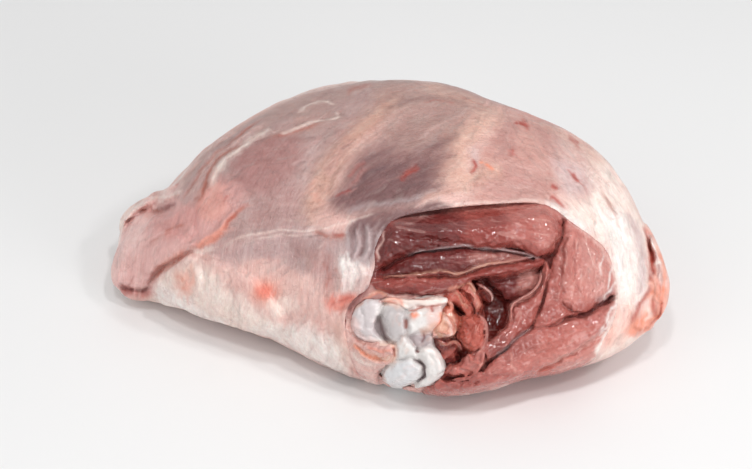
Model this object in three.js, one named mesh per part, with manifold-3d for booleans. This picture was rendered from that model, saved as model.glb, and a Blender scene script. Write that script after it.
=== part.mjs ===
// Raw leg of lamb without its shank, lying on its underside. Millimetres, +Z up, +X along the leg
// from its flank end to its rump end. The origin is the middle of its box, on the surface it lies on.
// The cut face and the knuckle of the leg bone look towards -Y.
import * as THREE from "three";
import { mergeVertices } from "three/addons/utils/BufferGeometryUtils.js";
import Module from "manifold-3d";

// Driving sizes

// The muscle mass under the skin: ellipsoids that run smoothly into each other.
const massLobes = {
  rump: { centre: [7, 29, 49], radii: [88, 70, 58], yaw: -14, tilt: 0 },
  rumpEnd: { centre: [74, 19, 39], radii: [55, 47, 52], yaw: -41, tilt: 0 },
  thigh: { centre: [-50, 22, 42], radii: [69, 58, 49], yaw: 21, tilt: -6 },
  flank: { centre: [-109, 27, 22], radii: [23, 40, 20], yaw: 34, tilt: 0 },
  flankTip: { centre: [-119, 26, 13], radii: [28, 16, 11], yaw: 47, tilt: 0 },
  knee: { centre: [-8, -36, 31], radii: [72, 33, 36], yaw: -30, tilt: 0 },
  underside: { centre: [68, -20, 30], radii: [71, 52, 31], yaw: 10, tilt: 0 },
  cutFace: { centre: [32, -18, 46], radii: [62, 34, 40], yaw: 0, tilt: 0 },
};
const lobeBlend = 24;
const floorRounding = 8;
const floorCut = 0.4;
const floorSlabSize = [400, 300, 20];
const coreLine = { flankEnd: [-106, 26, 20], rumpEnd: [68, 6, 36] };
const massReach = 130;
const massDetail = 40;
const coreDetail = 28;
const originShift = [2.2, -7.9, 0];

// What lies on the cut face is placed on an upright sheet through the leg's middle, as seen from a
// point in front and above: u runs right and v runs up, in millimetres on that sheet.
const sheetMiddle = [-6.7, 0, 50];
const eyeDistance = 985.5;
const eyeElevation = 38;

// The skin and fat end at this outline, and the cut muscles show inside it.
const cutOutline = [
  [-4, -16], [-2, -4], [2, 4], [12, 9], [30, 13], [52, 14], [77, 15], [96, 7], [108, -2], [115, -12],
  [120, -28], [117, -45], [108, -64], [72, -76], [36, -84], [10, -79], [-6, -68], [-12, -50], [-8, -32],
];
const cutDepth = 6;
const cutSides = 38;
const cutStart = 20;
const cutLength = 100;

// Forms on the mass: stations [u, v, half width] along each spine, the height of their edges over
// the skin line, how far their crown stands over the edges, and how far their back goes below.
const hollow = {
  spine: [[34, -42, 9], [50, -42, 17], [66, -38, 11]],
  edge: -2, crown: 12, back: 16,
};
const bellies = {
  topRoundEnd: {
    spine: [[6, -6, 6], [14, -1, 9.5], [32, 3, 11], [53, 4, 11.5], [77, 2, 12.5], [88, 1, 10]],
    edge: -5, crown: 8, back: 8,
  },
  innerBelly: {
    spine: [[3, -20, 4], [15, -16, 7], [27, -14.5, 8], [47, -12.5, 8], [64, -11, 5.5], [80, -12, 3]],
    edge: -6, crown: 5, back: 8,
  },
  innerEdge: {
    spine: [[-1, -26, 3], [6, -25, 5], [22, -25, 6], [40, -23.5, 5], [54, -19, 4.5], [84, -13, 3]],
    edge: -5, crown: 6, back: 8,
  },
  smallBelly: {
    spine: [[58, -25, 4], [69, -25, 8], [81, -20, 5]],
    edge: -9, crown: 6, back: 9,
  },
  hollowWall: {
    spine: [[85, -14, 3], [84, -26, 4], [78, -34, 6], [73, -43, 7.5], [67, -51, 7], [56, -62, 4]],
    edge: -6, crown: 7, back: 12,
  },
  silversideInner: {
    spine: [[92, -4, 5], [91, -18, 6.5], [89, -31, 6.5], [84, -42, 5]],
    edge: -6, crown: 4, back: 8,
  },
  silversideMiddle: {
    spine: [[97, 2, 6], [100, -12, 7.5], [99, -26, 7.5], [95, -38, 6]],
    edge: -5, crown: 6, back: 8,
  },
  silversideOuter: {
    spine: [[102, -2, 6], [110, -14, 8], [112, -27, 8], [106, -38, 6]],
    edge: -5, crown: 5.5, back: 8,
  },
  silversideFoot: {
    spine: [[81, -45, 5], [92, -44, 6], [104, -41, 5]],
    edge: -5, crown: 6, back: 8,
  },
  lowerBelly: {
    spine: [[28, -78, 4], [47, -75, 7], [67, -66, 10], [87, -57, 12], [104, -50, 11], [115, -39, 6]],
    edge: -5, crown: 7, back: 10,
  },
  lowerEdge: {
    spine: [[80, -69, 4], [95, -63, 6], [107, -55, 6], [114, -46, 4]],
    edge: -4, crown: 6, back: 9,
  },
  shredLeft: {
    spine: [[37, -26, 3], [43, -33, 4], [45, -41, 3.5]],
    edge: -9, crown: 7, back: 10,
  },
  shredMiddle: {
    spine: [[45, -25, 3], [50, -33, 3.5], [49, -41, 3]],
    edge: -9, crown: 6, back: 10,
  },
  hollowFinger: {
    spine: [[49, -40, 4], [50, -49, 6.5], [47, -58, 5]],
    edge: -9, crown: 7, back: 12,
  },
  hollowFoot: {
    spine: [[54, -60, 4], [45, -66, 7], [32, -71, 6]],
    edge: -7, crown: 6, back: 12,
  },
  hollowFloor: {
    spine: [[31, -50, 5], [36, -58, 8], [38, -66, 5]],
    edge: -11, crown: 5, back: 10,
  },
};

// Fat and skin that stand proud of the smooth mass, and soft tissue round the knuckle.
const skinForms = {
  flankLobe: {
    spine: [[-115, 11, 5], [-117, 1, 8], [-119, -10, 9.5], [-115, -19, 8]],
    edge: -4, crown: 8, back: 8,
  },
  flankFat: {
    spine: [[-108, -26, 5], [-99, -25, 9], [-86, -28, 8], [-72, -34, 4]],
    edge: -4, crown: 7, back: 8,
  },
  flankTag: {
    spine: [[-124, 4, 2.5], [-121, 9, 3.5], [-114, 13, 3.5], [-104, 15, 3]],
    edge: -3, crown: 6, back: 6,
  },
  tearLip: {
    spine: [[-94, -7, 1.5], [-84, -4, 3], [-76, 2, 3.5], [-71, 10, 2.5], [-63, 16, 1.5]],
    edge: -1, crown: 3, back: 5,
  },
  kneeFat: {
    spine: [[-14, -30, 4], [-17, -42, 6], [-16, -54, 6], [-11, -65, 5], [0, -72, 4]],
    edge: -3, crown: 5, back: 8,
  },
  kneeTissue: {
    spine: [[-12, -59, 5], [-2, -60, 7], [8, -58, 5]],
    edge: -6, crown: 4, back: 8,
  },
  bottomLip: {
    spine: [[-2, -72, 3], [8, -76, 4], [20, -79, 4], [34, -80, 3]],
    edge: -4, crown: 5, back: 9,
  },
  rumpFlap: {
    spine: [[134, 4, 2.5], [138, -10, 4.5], [138, -26, 6.5], [130, -45, 6]],
    edge: -6, crown: 12, back: 6,
  },
};

// The knuckle: the cartilage faces that show at the cut, and the bone that carries them.
const knuckleForms = {
  ball: {
    spine: [[7, -65, 8], [14, -68, 10], [20, -70, 8]],
    edge: -8, crown: 10, back: 8,
  },
  rim: {
    spine: [[24, -57, 5], [30, -62, 6.5], [29, -69, 6], [23, -73, 4]],
    edge: -7, crown: 7, back: 7,
  },
  block: {
    spine: [[5, -45, 7], [16, -45, 9.5], [30, -42, 8]],
    edge: -7, crown: 8, back: 12,
  },
  leftFace: {
    spine: [[-2, -32, 4], [-4, -42, 7], [-2, -50, 6], [4, -53, 4]],
    edge: -7, crown: 6, back: 12,
  },
  topStrip: {
    spine: [[2, -31, 3], [14, -33, 4], [24, -34, 4], [35, -33, 3.5]],
    edge: -6, crown: 5, back: 10,
  },
  bridge: {
    spine: [[13, -50, 6], [14, -61, 6.5]],
    edge: -7, crown: 8, back: 12,
  },
  knob: {
    spine: [[20, -51, 5], [28, -55, 5]],
    edge: -9, crown: 6, back: 10,
  },
};
const boneShaft = { from: [14, -54], sink: 24, radius: 13, length: 20, heading: [0.1, 0.9, 0.25] };
const seamGap = 0.7;
const bellySegments = 12;
const bellyRings = 10;
const endRoundness = 3.2;
const sideRoundness = 0.8;
const boneRoundness = 0.6;
const lowestPoint = 0.3;
const joinDistance = 1e-3;

// Small helpers

const wasm = await Module();
wasm.setup();

const degrees = THREE.MathUtils.degToRad;
const vec = (xyz) => new THREE.Vector3(...xyz);

// Smooth minimum and maximum of two distances, blended over a width.
function smoothMin(a, b, width) {
  const overlap = Math.max(width - Math.abs(a - b), 0) / width;
  return Math.min(a, b) - overlap * overlap * width * 0.25;
}
function smoothMax(a, b, width) {
  return -smoothMin(-a, -b, width);
}

// Distance from a point to an ellipsoid's skin, negative inside, close to exact near the skin.
function ellipsoidDistance(point, lobe) {
  const local = point.clone().sub(lobe.middle).applyMatrix3(lobe.toLocal);
  const scaled = local.clone().divide(lobe.size);
  const steepness = scaled.clone().divide(lobe.size).length();
  const reach = scaled.length();
  return (reach * (reach - 1)) / Math.max(steepness, 1e-9);
}

const lobes = Object.values(massLobes).map(({ centre, radii, yaw, tilt }) => {
  const turn = new THREE.Matrix4()
    .makeRotationZ(degrees(yaw))
    .multiply(new THREE.Matrix4().makeRotationY(degrees(tilt)));
  return {
    middle: vec(centre),
    size: vec(radii),
    toLocal: new THREE.Matrix3().setFromMatrix4(turn.transpose()),
  };
});

// The smooth mass of the leg, which runs a little below the floor until it is cut flat.
function massDistance(point) {
  const all = lobes.map((lobe) => ellipsoidDistance(point, lobe));
  const blended = all.reduce((sum, distance) => smoothMin(sum, distance, lobeBlend));
  return smoothMax(blended, -point.z - floorCut, floorRounding);
}

// Where a line first gets a depth below the skin of the mass, or the nearest miss.
function crossing(start, direction, from, to, depth = 0) {
  const step = 2;
  const at = (t) => start.clone().addScaledVector(direction, t);
  const distanceAt = (t) => massDistance(at(t)) + depth;
  let best = from;
  let bestDistance = Infinity;
  for (let t = from; t <= to; t += step) {
    const distance = distanceAt(t);
    if (distance < bestDistance) [best, bestDistance] = [t, distance];
    if (distance > 0) continue;
    let [low, high] = [t - step, t];
    for (let i = 0; i < 12; i++) {
      const middle = (low + high) / 2;
      if (distanceAt(middle) > 0) low = middle;
      else high = middle;
    }
    return at((low + high) / 2);
  }
  return at(best);
}

const lookDown = degrees(eyeElevation);
const forward = vec([0, Math.cos(lookDown), -Math.sin(lookDown)]);
const upward = vec([0, Math.sin(lookDown), Math.cos(lookDown)]);
const eye = vec(sheetMiddle).addScaledVector(forward, -eyeDistance);

// The direction from the eye to a point of the drawing sheet.
function sightLine(u, v) {
  const sheetPoint = vec(sheetMiddle).addScaledVector(upward, v);
  sheetPoint.x += u;
  return sheetPoint.sub(eye).normalize();
}

// The point of the mass that lies behind a point of the drawing sheet, raised towards the eye.
function onMass(u, v, height) {
  const direction = sightLine(u, v);
  const skin = crossing(eye, direction, eyeDistance - 180, eyeDistance + 200);
  return skin.addScaledVector(direction, -height);
}

// A manifold-3d solid from a three.js geometry, and back.
function solidOf(geometry, tolerance = 1e-4) {
  const bare = geometry.clone();
  bare.deleteAttribute("uv");
  bare.deleteAttribute("normal");
  const merged = mergeVertices(bare, tolerance);
  return new wasm.Manifold(new wasm.Mesh({
    numProp: 3,
    vertProperties: new Float32Array(merged.attributes.position.array),
    triVerts: new Uint32Array(merged.index.array),
  }));
}
function geometryOf(solid) {
  const mesh = solid.getMesh();
  const geometry = new THREE.BufferGeometry();
  geometry.setAttribute("position", new THREE.BufferAttribute(mesh.vertProperties, 3));
  geometry.setIndex(new THREE.BufferAttribute(mesh.triVerts, 1));
  geometry.translate(...originShift);
  geometry.computeVertexNormals();
  return geometry;
}

// The largest closed surface of a solid: sealed hollows come out filled, and loose scraps go.
function mainBody(solid) {
  const { vertProperties, triVerts } = solid.getMesh();
  const geometry = new THREE.BufferGeometry();
  geometry.setAttribute("position", new THREE.BufferAttribute(vertProperties, 3));
  geometry.setIndex(new THREE.BufferAttribute(triVerts, 1));
  const bodies = solidOf(geometry, joinDistance).decompose();
  return bodies.reduce((most, body) => (body.volume() > most.volume() ? body : most));
}

// Moves every vertex of a geometry to where a function puts it.
function moved(geometry, place) {
  const positions = geometry.attributes.position;
  for (let i = 0; i < positions.count; i++) {
    const { x, y, z } = place(new THREE.Vector3().fromBufferAttribute(positions, i));
    positions.setXYZ(i, x, y, z);
  }
  return geometry;
}
function shapedSphere(segments, rings, place) {
  return moved(new THREE.SphereGeometry(1, segments, rings), place);
}

// Parts of the leg

// The whole mass, or its core at a depth below the skin: rays from a line along the leg's middle.
function muscleMass(detail, depth = 0) {
  return solidOf(shapedSphere(detail, detail, (unit) => {
    const heart = vec(coreLine.flankEnd).lerp(vec(coreLine.rumpEnd), (unit.y + 1) / 2);
    const direction = new THREE.Vector3(unit.y, unit.x, -unit.z);
    const outside = heart.addScaledVector(direction, massReach);
    return crossing(outside, direction.negate(), 0, massReach, depth);
  }));
}

// A share of a circle's width, pushed out towards a square's: the lower the roundness, the squarer.
function squared(share, roundness) {
  return Math.sign(share) * Math.abs(share) ** roundness;
}

// A belly along a spine: rounded across, blunt at both ends, and grown all over by a small amount.
function belly({ spine, edge, crown, back }, roundness = sideRoundness, grown = 0) {
  const line = new THREE.CatmullRomCurve3(spine.map(([u, v, half]) => vec([u, v, half])));
  const geometry = shapedSphere(bellySegments, bellyRings, (unit) => {
    const along = (unit.y + 1) / 2;
    const station = line.getPoint(along);
    const tangent = line.getTangent(along).setZ(0).normalize();
    const ring = Math.hypot(unit.x, unit.z);
    const fullness = (1 - Math.abs(unit.y) ** endRoundness) ** (1 / endRoundness);
    const across = ring > 1e-6 ? squared(unit.x / ring, roundness) : 0;
    const out = ring > 1e-6 ? squared(unit.z / ring, roundness) : 0;
    const half = (station.z + grown) * fullness * across;
    const overhang = unit.y * (Math.min(station.z, 3) * (1 - fullness) + grown);
    const u = station.x + tangent.y * half + tangent.x * overhang;
    const v = station.y - tangent.x * half + tangent.y * overhang;
    const height = edge + (out > 0 ? crown + grown : back + grown) * fullness * out;
    const place = onMass(u, v, height);
    place.z = Math.max(place.z, lowestPoint);
    return place;
  });
  return solidOf(geometry);
}

// What the saw and knife took off: everything in front of the cut outline.
function cutAway() {
  const edge = new THREE.CatmullRomCurve3(cutOutline.map(([u, v]) => vec([u, v, 0])), true);
  const outline = edge.getPoints(cutSides).slice(0, -1).map(({ x, y }) => new THREE.Vector2(x, y));
  const depth = cutLength;
  const geometry = new THREE.ExtrudeGeometry(new THREE.Shape(outline), { depth, bevelEnabled: false });
  return solidOf(moved(geometry, ({ x, y, z }) => (
    eye.clone().addScaledVector(sightLine(x, y), eyeDistance - cutStart - z)
  )));
}

// The stub of bone that carries the knuckle, set back into the meat.
function shaft(grown = 0) {
  const { from, sink, radius, length, heading } = boneShaft;
  const geometry = new THREE.CapsuleGeometry(radius + grown, length, 6, 20);
  const start = onMass(...from, -sink);
  const inward = vec(heading).normalize();
  geometry.applyQuaternion(new THREE.Quaternion().setFromUnitVectors(vec([0, 1, 0]), inward));
  geometry.translate(...start.addScaledVector(inward, length / 2).toArray());
  return solidOf(geometry);
}

function knuckle(grown = 0) {
  const forms = Object.values(knuckleForms).map((form) => belly(form, boneRoundness, grown));
  return mainBody(forms.reduce((bone, form) => bone.add(form), shaft(grown)));
}

// What lies below the floor.
function floorSlab() {
  const geometry = new THREE.BoxGeometry(...floorSlabSize);
  geometry.translate(0, 0, -floorSlabSize[2] / 2);
  return solidOf(geometry);
}

function meat() {
  const opened = muscleMass(massDetail)
    .subtract(cutAway())
    .add(muscleMass(coreDetail, cutDepth))
    .subtract(belly(hollow));
  const forms = [...Object.values(bellies), ...Object.values(skinForms)].map((form) => belly(form));
  const whole = forms.reduce((mass, form) => mass.add(form), opened);
  return mainBody(whole.subtract(knuckle(seamGap)).subtract(floorSlab()));
}

// The finished leg

const meatMaterial = new THREE.MeshStandardMaterial({ color: 0xc98f86, roughness: 0.42, metalness: 0 });
const boneMaterial = new THREE.MeshStandardMaterial({ color: 0xe6e4e0, roughness: 0.3, metalness: 0 });

function namedMesh(name, solid, material) {
  const mesh = new THREE.Mesh(geometryOf(solid), material);
  mesh.name = name;
  return mesh;
}

const legOfLamb = new THREE.Group();
legOfLamb.add(namedMesh("leg_meat", meat(), meatMaterial));
legOfLamb.add(namedMesh("leg_bone", knuckle(), boneMaterial));

export default legOfLamb;
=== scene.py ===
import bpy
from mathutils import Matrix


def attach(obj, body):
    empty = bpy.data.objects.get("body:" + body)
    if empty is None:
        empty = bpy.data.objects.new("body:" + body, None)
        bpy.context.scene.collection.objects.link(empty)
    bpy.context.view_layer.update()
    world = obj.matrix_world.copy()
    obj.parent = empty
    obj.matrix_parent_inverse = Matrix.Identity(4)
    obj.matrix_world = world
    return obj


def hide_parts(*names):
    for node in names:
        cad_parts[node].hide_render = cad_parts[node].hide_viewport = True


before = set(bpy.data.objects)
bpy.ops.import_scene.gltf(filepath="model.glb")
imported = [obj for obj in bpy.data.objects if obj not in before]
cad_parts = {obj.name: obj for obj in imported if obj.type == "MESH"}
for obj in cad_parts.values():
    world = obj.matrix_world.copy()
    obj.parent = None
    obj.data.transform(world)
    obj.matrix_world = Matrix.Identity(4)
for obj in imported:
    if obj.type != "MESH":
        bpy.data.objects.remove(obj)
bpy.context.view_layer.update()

import math
import time

import bpy
import numpy as np
import openvdb
from mathutils import Vector

began = time.time()

# The view. Everything that shows is laid out on a sheet that stands upright through the leg's middle
# and faces the camera: x runs right, y runs down, and one unit is half a millimetre there.
sheet = {
    "middle": (-6.7, 0.0, 50.0),       # millimetres, the point that the camera looks at
    "distance": 985.5,
    "elevation": 38.0,
    "focal": 1971.0,                   # sheet units
    "centre": (376.0, 234.5),
    "size": (752, 469),
    "fineness": 2,                     # cells a unit
}
sheetUnit = 0.5                             # millimetres
partShift = np.array([2.2, -7.9, 0.0])      # from the millimetres used here to the part's own origin
lookDown = math.radians(sheet["elevation"])
forwardAxis = np.array([0.0, math.cos(lookDown), -math.sin(lookDown)])
upAxis = np.array([0.0, math.sin(lookDown), math.cos(lookDown)])
eye = np.array(sheet["middle"]) - sheet["distance"] * forwardAxis


def onSheet(x, y, z):
    depth = (y - eye[1]) * forwardAxis[1] + (z - eye[2]) * forwardAxis[2]
    rise = (y - eye[1]) * upAxis[1] + (z - eye[2]) * upAxis[2]
    across = sheet["centre"][0] + sheet["focal"] * (x - eye[0]) / depth
    down = sheet["centre"][1] - sheet["focal"] * rise / depth
    return across, down, sheet["distance"] - depth


# The mass of the leg: ellipsoids that run smoothly into each other, in millimetres.
mass = {
    "lobes": {
        "rump": {"centre": (7, 29, 49), "radii": (88, 70, 58), "yaw": -14, "tilt": 0},
        "rumpEnd": {"centre": (74, 19, 39), "radii": (55, 47, 52), "yaw": -41, "tilt": 0},
        "thigh": {"centre": (-50, 22, 42), "radii": (69, 58, 49), "yaw": 21, "tilt": -6},
        "flank": {"centre": (-109, 27, 22), "radii": (23, 40, 20), "yaw": 34, "tilt": 0},
        "flankTip": {"centre": (-119, 26, 13), "radii": (28, 16, 11), "yaw": 47, "tilt": 0},
        "knee": {"centre": (-8, -36, 31), "radii": (72, 33, 36), "yaw": -30, "tilt": 0},
        "underside": {"centre": (68, -20, 30), "radii": (71, 52, 31), "yaw": 10, "tilt": 0},
        "cutFace": {"centre": (32, -18, 46), "radii": (62, 34, 40), "yaw": 0, "tilt": 0},
    },
    "blend": 24.0,
    "floorRounding": 8.0,
    "floorCut": 0.4,
}


def smoothMin(a, b, width):
    overlap = np.maximum(width - np.abs(a - b), 0) / width
    return np.minimum(a, b) - overlap * overlap * (width * 0.25)


def smoothStep(low, high, value):
    t = np.clip((value - low) / (high - low), 0, 1)
    return t * t * (3 - 2 * t)


def lobeDistance(x, y, z, lobe):
    turn, lean = math.radians(lobe["yaw"]), math.radians(lobe["tilt"])
    (cx, cy, cz), (a, b, c) = lobe["centre"], lobe["radii"]
    along = (x - cx) * math.cos(turn) + (y - cy) * math.sin(turn)
    across = (y - cy) * math.cos(turn) - (x - cx) * math.sin(turn)
    up = z - cz
    if lobe["tilt"]:
        along, up = (
            along * math.cos(lean) - up * math.sin(lean),
            along * math.sin(lean) + up * math.cos(lean),
        )
    reach = np.sqrt((along / a) ** 2 + (across / b) ** 2 + (up / c) ** 2)
    steepness = np.sqrt((along / a**2) ** 2 + (across / b**2) ** 2 + (up / c**2) ** 2)
    return reach * (reach - 1) / np.maximum(steepness, 1e-9)


def massDistance(x, y, z):
    total = None
    for lobe in mass["lobes"].values():
        distance = lobeDistance(x, y, z, lobe)
        total = distance if total is None else smoothMin(total, distance, mass["blend"])
    return -smoothMin(-total, z + mass["floorCut"] + 0 * total, mass["floorRounding"])


def onMass(points, height):
    # Where sight lines through sheet points meet the mass, raised towards the camera.
    points = np.asarray(points, float)
    right = (points[:, 0] - sheet["centre"][0]) / sheet["focal"]
    rise = (sheet["centre"][1] - points[:, 1]) / sheet["focal"]
    lines = forwardAxis + right[:, None] * np.array([1.0, 0, 0]) + rise[:, None] * upAxis
    lines /= np.linalg.norm(lines, axis=1)[:, None]
    reach = np.full(len(points), sheet["distance"] - 180.0)
    best, nearest = reach.copy(), np.full(len(points), 1e9)
    for _ in range(90):
        distance = massDistance(*(eye + lines * reach[:, None]).T)
        closer = distance < nearest
        best[closer], nearest[closer] = reach[closer], distance[closer]
        reach = reach + np.where(distance > 0.01, distance * 0.6, 0)
    return eye + lines * (best - height)[:, None]


# Brushes that draw on the sheet

def smoothCurve(points, closed, steps=8):
    knots = np.array(points, float)
    if not closed:
        knots = np.vstack([2 * knots[0] - knots[1], knots, 2 * knots[-1] - knots[-2]])
    count = len(knots)
    share = np.linspace(0, 1, steps, endpoint=False)[:, None]
    pieces = []
    for i in range(count if closed else count - 3):
        first = i if not closed else i - 1
        p0, p1, p2, p3 = (knots[(first + k) % count] for k in range(4))
        pieces.append(0.5 * (
            2 * p1 + (p2 - p0) * share + (2 * p0 - 5 * p1 + 4 * p2 - p3) * share**2
            + (3 * p1 - p0 - 3 * p2 + p3) * share**3
        ))
    curve = np.concatenate(pieces)
    return curve if closed else np.vstack([curve, knots[-2]])


def windowRound(curve, margin):
    fine, (wide, high) = sheet["fineness"], sheet["size"]
    low = np.maximum(((curve.min(0) - margin) * fine).astype(int), 0)
    top = np.minimum(((curve.max(0) + margin) * fine).astype(int) + 1, (wide * fine, high * fine))
    xs = (np.arange(low[0], top[0]) + 0.5) / fine
    ys = (np.arange(low[1], top[1]) + 0.5) / fine
    return (slice(low[1], top[1]), slice(low[0], top[0])), *np.meshgrid(xs, ys)


def lineDistance(x, y, starts, ends):
    nearest = np.full(x.shape, 1e9)
    share = np.zeros(x.shape)
    for i, (a, b) in enumerate(zip(starts, ends)):
        side = b - a
        t = np.clip(((x - a[0]) * side[0] + (y - a[1]) * side[1]) / max(side @ side, 1e-9), 0, 1)
        gap = (x - a[0] - t * side[0]) ** 2 + (y - a[1] - t * side[1]) ** 2
        closer = gap < nearest
        nearest = np.where(closer, gap, nearest)
        share = np.where(closer, (i + t) / len(starts), share)
    return np.sqrt(nearest), share


def insideDistance(outline, margin=6.0):
    # Distance from the outline, positive inside it, over a window of the sheet.
    curve = smoothCurve(outline, True)
    window, x, y = windowRound(curve, margin)
    gap, _ = lineDistance(x, y, curve, np.roll(curve, -1, 0))
    inside = np.zeros(x.shape, bool)
    for (ax, ay), (bx, by) in zip(curve, np.roll(curve, 1, 0)):
        if ay != by:
            inside ^= ((ay > y) != (by > y)) & (x < (bx - ax) * (y - ay) / (by - ay) + ax)
    return window, x, y, np.where(inside, gap, -gap)


class Layer:
    # Values laid out over the sheet, one or several a cell.
    def __init__(self, start):
        wide, high = sheet["size"]
        fine = sheet["fineness"]
        self.cells = np.full((high * fine, wide * fine, np.size(start)), start, np.float32)

    def blendIn(self, window, weight, value):
        cells = self.cells[window]
        value = np.asarray(value, np.float32)
        if value.ndim == 2:
            value = value[..., None]
        cells += np.clip(weight, 0, 1)[..., None] * (value - cells)

    def fill(self, outline, value, edge=1.0, strength=1.0):
        # A flat area whose rim is soft over twice the edge width.
        window, _, _, gap = insideDistance(outline, edge + 2)
        self.blendIn(window, smoothStep(-edge, edge, gap) * strength, value)

    def dome(self, outline, level, crown, width, edge=0.8):
        # A muscle's end: it rises from its rim to its crown over a width.
        window, _, _, gap = insideDistance(outline, 3)
        t = np.clip(1 - gap / width, 0, 1)
        height = level + crown * np.sqrt(np.clip(1 - t * t, 0, 1))
        self.blendIn(window, smoothStep(-edge, edge, gap), height)

    def line(self, points, value, width, strength=1.0, add=False):
        # A stroke with a soft rim and thin ends. With add, its value is added and not blended in.
        curve = smoothCurve(points, False)
        window, x, y = windowRound(curve, width * 2.5)
        gap, share = lineDistance(x, y, curve[:-1], curve[1:])
        weight = np.exp(-(gap / width) ** 2) * strength
        weight *= np.clip(np.minimum(share, 1 - share) * 6, 0, 1) ** 0.5
        if add:
            self.cells[window] += weight[..., None] * np.float32(value)
        else:
            self.blendIn(window, weight, value)

    def soften(self, width):
        reach = max(int(width * sheet["fineness"] * 3), 1)
        steps = np.arange(-reach, reach + 1) / (width * sheet["fineness"])
        kernel = np.exp(-0.5 * steps**2)
        kernel /= kernel.sum()
        for axis in (0, 1):
            padded = np.pad(self.cells, [(reach, reach) if a == axis else (0, 0) for a in range(3)], "edge")
            parts = [
                weight * np.take(padded, range(k, k + self.cells.shape[axis]), axis)
                for k, weight in enumerate(kernel)
            ]
            self.cells = sum(parts).astype(np.float32)

    def at(self, x, y):
        fine = sheet["fineness"]
        rows, columns, _ = self.cells.shape
        u = np.clip(x * fine - 0.5, 0, columns - 1.001)
        v = np.clip(y * fine - 0.5, 0, rows - 1.001)
        i, j = u.astype(np.int32), v.astype(np.int32)
        u, v = (u - i)[..., None], (v - j)[..., None]
        low = self.cells[j, i] * (1 - u) + self.cells[j, i + 1] * u
        high = self.cells[j + 1, i] * (1 - u) + self.cells[j + 1, i + 1] * u
        found = low * (1 - v) + high * v
        return found[..., 0] if found.shape[-1] == 1 else found


# Smooth random values in space, from -1 to 1, with bumps of a size in millimetres.
def unevenness(points, size, seed):
    lattice = np.random.default_rng(seed).uniform(-1, 1, 64**3).astype(np.float32)
    place = (points / size + 200.0).astype(np.float32)
    cell = np.floor(place).astype(np.int32)
    part = place - cell
    part = part * part * (3 - 2 * part)
    low, high = cell & 63, (cell + 1) & 63
    u, v, w = part.T
    rows = [[index[:, 0] * 4096 + other[:, 1] * 64 for other in (low, high)] for index in (low, high)]
    edges = [
        [lattice[row + low[:, 2]] * (1 - w) + lattice[row + high[:, 2]] * w for row in pair] for pair in rows
    ]
    near, far = (pair[0] * (1 - v) + pair[1] * v for pair in edges)
    return near * (1 - u) + far * u


def ridges(points, size, seed, thin=0.22):
    # Narrow winding crests, from 0 to 1.
    return np.clip(1 - np.abs(unevenness(points, size, seed)) / thin, 0, 1)


def doubled(grid, axis):
    # Twice as many cells along an axis: the mass is smooth enough for the ones between to be averages.
    grid = np.moveaxis(grid, axis, 0)
    finer = np.empty((2 * len(grid) - 1, *grid.shape[1:]), np.float32)
    finer[::2] = grid
    finer[1::2] = (grid[1:] + grid[:-1]) * 0.5
    return np.moveaxis(finer, 0, axis)


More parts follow.
